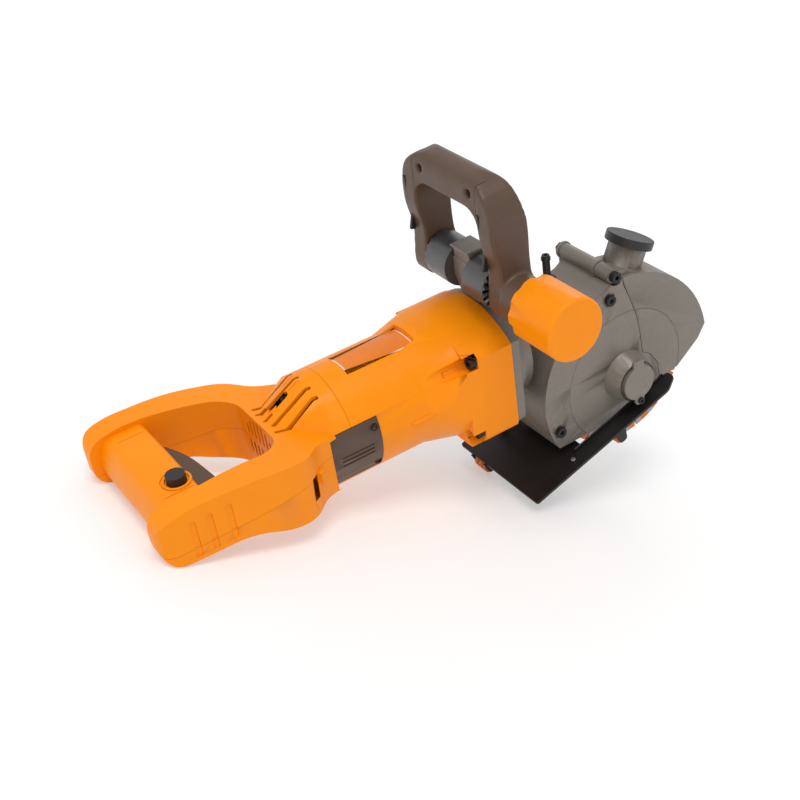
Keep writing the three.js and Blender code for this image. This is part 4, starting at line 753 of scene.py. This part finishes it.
class MotorHousing(SubAssembly):
    """The orange motor housing with its flange screws, name plate and brush covers."""

    barrel_radius = 50.0
    plate_front = -68.0
    plate_rear = -133.0
    plate_half = 16.0
    recess_floor = 48.6
    recess_reach = 60.0
    barrel_sides = 160
    seam_place = -62.0
    cover_screw_places = ((-133.5, 12.5), (-133.5, -22.5))
    cover_line_heights = (-9.0, -5.0, -1.0)

    def build(self) -> None:
        """Makes the housing and what is on it."""
        self.reshape("motor_housing", "machine", "orange_plastic", 1.4, self.detail)
        for side, node in ((-1, "brush_cover_right"), (1, "brush_cover_left")):
            lines = lambda piece, s=side: self.cover_grooves(piece, s)
            self.reshape(node, "machine", "dark_plastic", 0.8, lines)
            for x, z in self.cover_screw_places:
                reach = math.sqrt(self.barrel_radius**2 - z**2) - 1.5
                name = f"cover_screw_{node[12:]}_{int(z)}"
                self.socket_screw(name, (x, side * reach, z), Axis.Y, side, 3.4)
        for index in range(1, 5):
            self.reshape(f"flange_screw_{index}", "machine", "black_steel", 0.5)
        self.name_plate()

    def detail(self, piece: bpy.types.Object) -> None:
        """Cuts the plate's recess and the seams into the housing.

        Args:
            piece: The housing.
        """
        length = self.plate_front - self.plate_rear
        middle = (self.plate_front + self.plate_rear) / 2
        centre = (middle, 0.0, 0.0)
        recess = round_bar("recess", self.recess_reach, length, centre, Axis.X, self.barrel_sides)
        core = round_bar("recess_core", self.recess_floor, length + 2.0, centre, Axis.X, self.barrel_sides)
        combine(recess, [core], Cut.AWAY)
        for side in (-1, 1):
            beside = (middle, side * (65.0 + self.plate_half), 0.0)
            combine(recess, [block("away", (length + 4.0, 130.0, 200.0), beside)], Cut.AWAY)
        combine(recess, [block("below", (length + 4.0, 200.0, 100.0), (middle, 0.0, -50.0))], Cut.AWAY)
        seam = ring("seam", self.barrel_radius + 0.2, 0.7, (self.seam_place, 0.0, 0.0), Axis.X)
        combine(piece, [recess, seam], Cut.AWAY)
        ridges = []
        for side in (-1, 1):
            place = (-68.0, side * self.barrel_radius, -1.0)
            ridges.append(block(f"ridge_{side}", (64.0, 3.2, 2.4), place))
            soften(ridges[-1], 1.0, 60.0)
        combine(piece, ridges, Cut.ON)

    def cover_grooves(self, piece: bpy.types.Object, side: int) -> None:
        """Cuts the three grip lines into a brush cover.

        Args:
            piece: The cover.
            side: +1 on the left, -1 on the right.
        """
        lines = []
        for z in self.cover_line_heights:
            reach = math.sqrt(self.barrel_radius**2 - z**2) + 3.2
            lines.append(block(f"line_{z}", (30.0, 8.0, 1.0), (-152.0, side * reach, z)))
        combine(piece, lines, Cut.AWAY)

    def name_plate(self) -> None:
        """A blank plate with a pale border that follows the barrel in its recess."""
        for name, radius, margin in (("plate_border", 48.9, 0.8), ("name_plate", 49.1, 2.0)):
            self.fit(self.film(name, radius, margin), "machine", name)

    def film(self, name: str, radius: float, margin: float) -> bpy.types.Object:
        """A thin plate bent to the barrel.

        Args:
            name: The piece's name.
            radius: Its outer radius.
            margin: Its distance from the edge of the recess.

        Returns:
            The plate.
        """
        middle = (self.plate_front + self.plate_rear) / 2
        length = self.plate_front - self.plate_rear - 2 * margin
        plate = round_bar(name, radius, length, (middle, 0, 0), Axis.X, self.barrel_sides)
        width = 2 * (self.plate_half - margin)
        keep = block("plate_reach", (100.0, width, 8.0), (middle, 0.0, radius - 2.0))
        modifier = plate.modifiers.new("reach", "BOOLEAN")
        modifier.operation = "INTERSECT"
        modifier.solver = "EXACT"
        modifier.object = keep
        apply_modifiers(plate)
        bpy.data.objects.remove(keep)
        activate(plate)
        bpy.ops.object.shade_smooth_by_angle(angle=math.radians(30.0))
        return plate


class RearHandle(SubAssembly):
    """The two handle shells with their vents, ribs and screws, the trigger and the lock button."""

    rib_places = (-306.5, -292.5, -276.5)
    long_vents = (18.0, 6.5, -12.0, -22.5)
    rear_vents = (20.0, 13.5, 7.0, 0.5, -6.0, -12.5, -19.0)
    button = (-296.0, -33.0)
    rear_face = -212.0
    rib_low = 1.0
    rib_high = 29.0

    def build(self) -> None:
        """Makes the handle."""
        self.reshape("handle_upper_shell", "machine", "orange_plastic", 0.5, self.upper_detail)
        self.reshape("handle_lower_shell", "machine", "orange_plastic", 0.5, self.lower_detail)
        self.reshape("trigger", "trigger", "dark_plastic", 2.0)
        self.reshape("lock_button", "lock_button", "black_plastic", 0.9)
        self.button_ring()
        self.side_lug()
        self.socket_screw("handle_screw", (-183.0, 1.5, 36.5), Axis.Z, 1, 3.6)

    def outside(self, at: Vector) -> bool:
        """Whether a point is on the outer faces or rear ends of the arms, away from the parting plane."""
        return (abs(at.y) > 69.0 or at.x < -331.0) and at.x < -200.0 and abs(at.z - 7.0) > 1.5

    def ribs(self, low: float, high: float) -> list[bpy.types.Object]:
        """The shallow grooves on the outer faces of the arms.

        Args:
            low: Their lower end.
            high: Their upper end.

        Returns:
            The cutters.
        """
        cutters = []
        for side in (-1, 1):
            for x in self.rib_places:
                ends = ((x, side * 78.0, low), (x, side * 78.0, high))
                cutters.append(slot_cutter(f"rib_{side}_{x}", *ends, 5.0, 0.9, (0.0, side, 0.0)))
        return cutters

    def upper_detail(self, piece: bpy.types.Object) -> None:
        """Cuts the vents, the grip's inset line and the arm grooves into the upper shell.

        Args:
            piece: The upper shell.
        """
        round_edges(piece, 5.0, self.outside)
        cutters = self.ribs(self.rib_low, self.rib_high)
        for y in self.long_vents:
            high = math.sqrt(50.0**2 - y**2)
            low = math.sqrt(max(1.0, 32.0**2 - y**2))
            out = (-0.4, 0.0, 1.0)
            cutters.append(slot_cutter(f"vent_{y}", (-203.0, y, low), (-167.0, y, high), 3.2, 9.0, out))
        for y in (12.0, 1.0):
            top = math.sqrt(48.0**2 - y**2)
            ends = ((-178.0, y, top - 3.5), (-168.0, y, top + 1.6))
            cutters.append(slot_cutter(f"line_{y}", *ends, 0.8, 1.6, (0, 0, 1)))
        for y in (9.0, -3.0):
            z = math.sqrt(31.0**2 - y**2)
            ends = ((-206.0, y, z), (-199.5, y, z + 3.4))
            cutters.append(slot_cutter(f"short_vent_{y}", *ends, 2.8, 7.0, (-0.4, 0, 1)))
        for y in self.rear_vents:
            low = (self.rear_face, y, 11.0)
            bend = (self.rear_face, y, max(math.sqrt(22.5**2 - y**2), 12.0))
            high = (-207.6, y, math.sqrt(28.0**2 - y**2))
            cutters.append(slot_cutter(f"rear_vent_{y}", low, bend, 2.6, 5.0, (-1, 0, 0)))
            cutters.append(slot_cutter(f"bent_vent_{y}", bend, high, 2.6, 4.0, (-1, 0, 0.7)))
        ends = ((-196.0, 1.5, 36.0), (-183.0, 1.5, 42.0))
        cutters.append(slot_cutter("screw_channel", *ends, 7.5, 4.0, (-0.4, 0.0, 1.0)))
        cutters += self.grip_lines()
        cutters.append(round_bar("button_recess", 13.0, 2.4, (*self.button, 38.0), Axis.Z))
        cutters += self.lug_pocket()
        combine(piece, cutters, Cut.AWAY)

    def grip_lines(self) -> list[bpy.types.Object]:
        """The cutter of the fine line round the panel on top of the grip."""
        outer = block("panel_outer", (27.0, 92.0, 1.2), (-300.5, -2.0, 38.0))
        inner = block("panel_inner", (25.6, 90.6, 3.0), (-300.5, -2.0, 38.0))
        soften(outer, 0.0)
        combine(outer, [inner], Cut.AWAY)
        return [outer]

    def lug_pocket(self) -> list[bpy.types.Object]:
        """The cutter of the pocket on the outside of the right arm."""
        ends = ((-200.0, -66.5, -10.0), (-198.0, -66.5, 4.0))
        return [slot_cutter("lug_pocket", *ends, 8.0, 4.5, (-0.75, -0.65, 0.0))]

    def lower_detail(self, piece: bpy.types.Object) -> None:
        """Cuts the lower vents and the arm grooves into the lower shell.

        Args:
            piece: The lower shell.
        """
        round_edges(piece, 5.0, self.outside)
        cutters = self.ribs(self.rib_low, self.rib_high) + self.lug_pocket()
        for y in self.rear_vents:
            ends = ((self.rear_face, y, -9.0), (self.rear_face, y, 3.0))
            cutters.append(slot_cutter(f"low_vent_{y}", *ends, 2.6, 5.0, (-1, 0, 0)))
        combine(piece, cutters, Cut.AWAY)

    def button_ring(self) -> None:
        """The raised orange rim that the lock button stands in."""
        rim = ring("button_rim", 10.6, 1.3, (*self.button, 37.4), Axis.Z)
        activate(rim)
        bpy.ops.object.shade_smooth()
        self.fit(rim, "machine", "orange_plastic")

    def side_lug(self) -> None:
        """The small square lug beside the pocket on the right arm."""
        lug = block("side_lug", (7.0, 6.0, 10.0), (-191.5, -58.0, 0.5), (0.0, 0.0, math.radians(41.0)))
        soften(lug, 0.8, 60.0)
        self.fit(lug, "machine", "orange_plastic")


class FrontHandle(SubAssembly):
    """The tilting front handle, its toothed joint and the knob."""

    knob_end = -136.0
    knob_root = -84.0
    knob_radius = 27.0
    flutes = 9
    tilt_back = 3.0

    def build(self) -> None:
        """Makes the handle."""
        self.moulded_loop()
        for side in ("left", "right"):
            self.reshape(f"toothed_ring_{side}", "front_handle", "toothed_metal", 0.3)
        self.reshape("handle_bracket", "machine", "grey_casting", 1.0)
        self.knob()
        for edge in (-46.2, 58.0):
            self.dark_insert(edge)
        self.bracket_plate()

    def moulded_loop(self) -> None:
        """The handle and its cover as one soft moulding.

        The cover's joint and its screw holes are cut in again.
        """
        axis = self.bench.anchor("handle_tilt")
        lean = Matrix.Translation(axis) @ Matrix.Rotation(-math.radians(self.tilt_back), 4, "Y")
        loop = self.bench.fetch("front_handle", "front_handle_finished")
        cover = self.bench.fetch("front_handle_cover", "cover_copy")
        fillers = [
            block("fill_left", (9.0, 1.2, 20.0), (-7.0, 44.0, 88.5)),
            block("fill_right", (9.0, 1.2, 20.0), (-7.0, -44.0, 88.5)),
            block("fill_front", (1.2, 88.0, 20.0), (-2.0, 0.0, 88.5)),
        ]
        for filler in fillers:
            filler.data.transform(lean)
        combine(loop, [cover, *fillers], Cut.ON)
        remesh = loop.modifiers.new("even mesh", "REMESH")
        remesh.mode = "VOXEL"
        remesh.voxel_size = 1.15
        remesh.use_smooth_shade = True
        relax = loop.modifiers.new("soft moulding", "SMOOTH")
        relax.factor = 0.5
        relax.iterations = 14
        apply_modifiers(loop)
        grooves = [
            block("joint_left", (30.0, 0.5, 40.0), (-17.0, 44.0, 90.0)),
            block("joint_right", (30.0, 0.5, 40.0), (-17.0, -44.0, 90.0)),
        ]
        grooves += [round_bar(f"hole_{y}", 3.4, 16.0, (-12.0, y, 88.5), Axis.X, 32) for y in (-34.0, 34.0)]
        for groove in grooves:
            groove.data.transform(lean)
        combine(loop, grooves, Cut.AWAY)
        activate(loop)
        bpy.ops.object.shade_smooth_by_angle(angle=math.radians(40.0))
        self.fit(loop, "front_handle", "dark_plastic", "front_handle", "front_handle_cover")

    def dark_insert(self, edge: float) -> None:
        """The two black strips set into the left rear edge of a leg.

        Args:
            edge: The y of the leg's edge.
        """
        upper = block("strip_upper", (5.0, 3.0, 26.0), (-11.2, edge, 141.0), (0.0, math.radians(-4.0), 0.0))
        lower = block("strip_lower", (5.0, 3.0, 22.0), (-9.6, edge, 114.0), (0.0, math.radians(14.0), 0.0))
        insert = merge(f"leg_insert_{int(edge)}", [upper, lower])
        soften(insert, 0.5, 60.0)
        self.fit(insert, "front_handle", "black_plastic")

    def bracket_plate(self) -> None:
        """The flat plate on top of the bracket, between the toothed rings."""
        axis = self.bench.anchor("handle_tilt")
        post = block("bracket_post", (15.0, 22.6, 11.0), (axis.x - 2.0, 0.0, axis.z + 16.5))
        plate = block("bracket_top", (21.0, 25.0, 2.2), (axis.x - 1.0, 0.0, axis.z + 22.4))
        combine(plate, [post], Cut.ON)
        soften(plate, 0.6, 60.0)
        self.fit(plate, "machine", "grey_casting")

    def knob(self) -> None:
        """The knob: a round bar with tapering flutes that fade out before its outer face."""
        axis = self.bench.anchor("knob_turn")
        middle = (self.knob_end + self.knob_root) / 2
        length = self.knob_root - self.knob_end
        knob = round_bar("knob_finished", self.knob_radius, length, (axis.x, middle, axis.z), Axis.Y, 96)
        round_edges(knob, 2.6, lambda at: True, 4)
        cutters = []
        for index in range(self.flutes):
            angle = 2 * math.pi * index / self.flutes
            bpy.ops.object.select_all(action="DESELECT")
            reach = self.knob_radius + 8.2
            across = reach * math.cos(angle)
            upward = reach * math.sin(angle)
            bpy.ops.mesh.primitive_cone_add(
                vertices=40,
                radius1=11.4,
                radius2=7.0,
                depth=34.0,
                location=(axis.x + across, self.knob_root - 15.0, axis.z + upward),
                rotation=(math.pi / 2, 0.0, 0.0),
            )
            cutters.append(settle(bpy.context.object, f"flute_{index}"))
        combine(knob, cutters, Cut.AWAY)
        soften(knob, 0.0, 50.0)
        self.fit(knob, "knob", "orange_plastic", "adjusting_knob")


class GuardAndCase(SubAssembly):
    """The gear case, the guard and what is screwed to them."""

    screw_places = ((102.0, 32.0), (40.0, -76.0))
    hub = (116.0, -74.0, -51.0)

    def build(self) -> None:
        """Makes the castings."""
        for node in ("gear_case", "gear_case_cover", "guard_body", "hub_cap"):
            self.reshape(node, "machine", "grey_casting", 0.8)
        self.reshape("guard_side_cover", "machine", "grey_casting", 0.5, self.side_detail)
        self.reshape("front_guard", "front_guard", "grey_casting", 0.6, self.side_detail)
        for node in ("hinge_bolt", "guard_screw_1", "guard_screw_2"):
            self.reshape(node, "machine", "black_steel", 0.4)
        # Painted shade: a thin black steel ring round the cap stands in for the shade in the gap between the cap
        # and the guard.
        shade_ring = ring("cap_gap_painted_shade", 18.6, 0.5, self.hub, Axis.Y, 64)
        self.fit(shade_ring, "machine", "black_steel")
        seat = (self.hub[0] + 0.5, self.hub[1] - 2.6, self.hub[2] - 19.0)
        self.socket_screw("cap_screw", seat, Axis.Y, -1, 3.2)
        for node in ("hinge_rim_rear", "hinge_rim_front"):
            place = 13.0 if node.endswith("rear") else -34.0
            collar = round_bar(node, 7.9, 3.0, (111.0, place, 50.0), Axis.Y)
            soften(collar, 0.6, 60.0)
            self.fit(collar, "machine", "grey_casting")
        self.reshape("dust_port_cap", "port_cap", "black_plastic", 1.2)
        self.reshape("water_elbow", "machine", "black_plastic", 0.5)

    def side_detail(self, piece: bpy.types.Object) -> None:
        """Rounds the rim of a guard's right face and cuts the fine step round the hub into it.

        Args:
            piece: The side cover or the front guard.
        """
        rim = lambda at: at.y < -57.0 and Vector((at.x - 116.0, at.z + 51.0)).length > 60.0
        round_edges(piece, 2.2, rim, 3)
        cutters = [ring(f"step_{piece.name}", 63.0, 0.5, (116.0, -58.0, -51.0), Axis.Y, 96)]
        if piece.name.startswith("guard_side_cover"):
            for x, z in self.screw_places:
                cutters.append(round_bar("well", 6.4, 2.4, (x, -58.0, z), Axis.Y, 32))
        combine(piece, cutters, Cut.AWAY)


class BaseAndDiscs(SubAssembly):
    """The base plate with its rollers, and the discs."""

    pivot = (150.0, 0.0, -66.0)
    pitch = 17.0
    sheet_top = -5.2

    def on_plate(self, piece: bpy.types.Object) -> bpy.types.Object:
        """Moves a piece from the plate's own level frame to the bench.

        Args:
            piece: The piece.

        Returns:
            The same piece.
        """
        turn = Matrix.Rotation(-math.radians(self.pitch), 4, "Y")
        piece.data.transform(Matrix.Translation(self.pivot) @ turn)
        return piece

    def trim(self) -> None:
        """A bright steel strip along the rail's edge, a painted highlight of the glint on the fold, and the rivets
        on the plate.
        """
        # Painted highlight: a thin bare steel strip stands in for the glint along the rail's edge.
        edge = block("rail_glint_strip", (104.0, 0.5, 0.4), (-52.0, -62.9, self.sheet_top + 3.0))
        self.fit(self.on_plate(edge), "base", "steel")
        for index, (x, y) in enumerate(((-112.0, -68.5),)):
            rivet = round_bar(f"rivet_{index}", 2.2, 1.6, (x, y, self.sheet_top + 0.6), Axis.Z, 24)
            soften(rivet, 0.6, 60.0)
            self.fit(self.on_plate(rivet), "base", "steel")

    def build(self) -> None:
        """Makes the plate, the rollers and the discs."""
        self.reshape("base_plate", "base", "black_steel", 0.4)
        for name in ("roller_rear", "roller_front_right", "roller_front_left"):
            self.reshape(name, name, "roller_plastic", 0.5)
        for index in range(1, 6):
            self.reshape(f"disc_{index}", "spindle_set", "disc_paint", 0.25)
        self.trim()


class InnerWorks(SubAssembly):
    """The nodes that keep their CAD shape: they get their finish only."""

    def build(self) -> None:
        """Paints every CAD node."""
        slots = {row["node"]: row["material_slot"] for row in frame["record"]["subparts"]}
        for node, piece in frame["nodes"].items():
            piece.data.materials.clear()
            piece.data.materials.append(self.finishes[slots[node]])
            activate(piece)
            bevel = piece.modifiers.new("shading", "WEIGHTED_NORMAL")
            bevel.keep_sharp = True
        log.info("painted %d nodes", len(slots))


# ---------------------------------------------------------------- studio


@dataclass
class Studio:
    """Floor, lights and camera."""

    bench: Bench
    lens: float = 60.12
    eye: Point = (-515.92, -826.04, 631.51)
    right: Point = (0.83123, -0.54004, -0.13192)
    up: Point = (0.40261, 0.42115, 0.81274)

    def camera(self) -> None:
        """Makes the camera and makes it the scene's."""
        turn = self.bench.to_row.to_3x3().normalized()
        x = (turn @ Vector(self.right)).normalized()
        y = (turn @ Vector(self.up)).normalized()
        z = x.cross(y).normalized()
        y = z.cross(x)
        data = bpy.data.cameras.new("camera")
        data.lens = self.lens
        data.sensor_width = 36.0
        data.clip_start = 0.01
        camera = bpy.data.objects.new("camera", data)
        bpy.context.scene.collection.objects.link(camera)
        place = Matrix.Translation(self.bench.to_row @ Vector(self.eye))
        camera.matrix_world = place @ Matrix((x, y, z)).transposed().to_4x4()
        bpy.context.scene.camera = camera

    def floor(self) -> None:
        """Makes the pale floor."""
        bpy.ops.object.select_all(action="DESELECT")
        bpy.ops.mesh.primitive_plane_add(size=240.0, location=(0.0, 0.0, -0.0004))
        floor = settle(bpy.context.object, "floor")
        material = bpy.data.materials.new("floor")
        material.use_nodes = True
        shader = material.node_tree.nodes["Principled BSDF"]
        shader.inputs["Base Color"].default_value = (0.6, 0.6, 0.6, 1.0)
        shader.inputs["Emission Color"].default_value = (1.0, 1.0, 1.0, 1.0)
        shader.inputs["Emission Strength"].default_value = 0.36
        shader.inputs["Roughness"].default_value = 0.6
        floor.data.materials.append(material)

    def sun(self, towards: Point, spread: float, power: float) -> None:
        """Makes the broad light that gives the soft shadow.

        Args:
            towards: The way from the tool to the light.
            spread: Its apparent size in degrees.
            power: Its strength.
        """
        data = bpy.data.lights.new("sun", "SUN")
        data.angle = math.radians(spread)
        data.energy = power
        lamp = bpy.data.objects.new("sun", data)
        lamp.rotation_euler = Vector(towards).to_track_quat("Z", "Y").to_euler()
        bpy.context.scene.collection.objects.link(lamp)

    def light(self, name: str, at: Point, size: float, power: float) -> None:
        """Makes a soft square light that looks at the tool.

        Args:
            name: The light's name.
            at: Its place, in metres.
            size: Its side.
            power: Its power in watts.
        """
        data = bpy.data.lights.new(name, "AREA")
        data.size = size
        data.energy = power
        lamp = bpy.data.objects.new(name, data)
        lamp.location = at
        lamp.rotation_euler = (Vector((0.0, 0.0, 0.12)) - Vector(at)).to_track_quat("-Z", "Y").to_euler()
        bpy.context.scene.collection.objects.link(lamp)

    def build(self) -> None:
        """Makes the studio."""
        self.camera()
        self.floor()
        world = bpy.data.worlds.new("studio")
        world.use_nodes = True
        background = world.node_tree.nodes["Background"]
        background.inputs["Color"].default_value = (1.0, 1.0, 1.0, 1.0)
        background.inputs["Strength"].default_value = 0.72
        bpy.context.scene.world = world
        self.sun((-0.35, -0.3, 1.0), 26.0, 1.15)
        self.light("key", (-0.9, -0.7, 1.3), 0.5, 1.6)
        self.light("edge", (0.9, 0.9, 1.1), 0.5, 1.6)
        bpy.context.scene.view_settings.view_transform = "Standard"
        log.info("studio ready")


def main() -> None:
    """Builds the scene."""
    logging.basicConfig(level=logging.INFO, format="%(name)s: %(message)s")
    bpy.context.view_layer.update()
    bench = Bench.from_frame()
    Studio(bench).build()
    finishes = Finishes(bench)
    finishes.prepare()
    for kind in (InnerWorks, MotorHousing, RearHandle, FrontHandle, GuardAndCase, BaseAndDiscs):
        kind(bench, finishes).build()


if __name__ == "__main__":
    main()
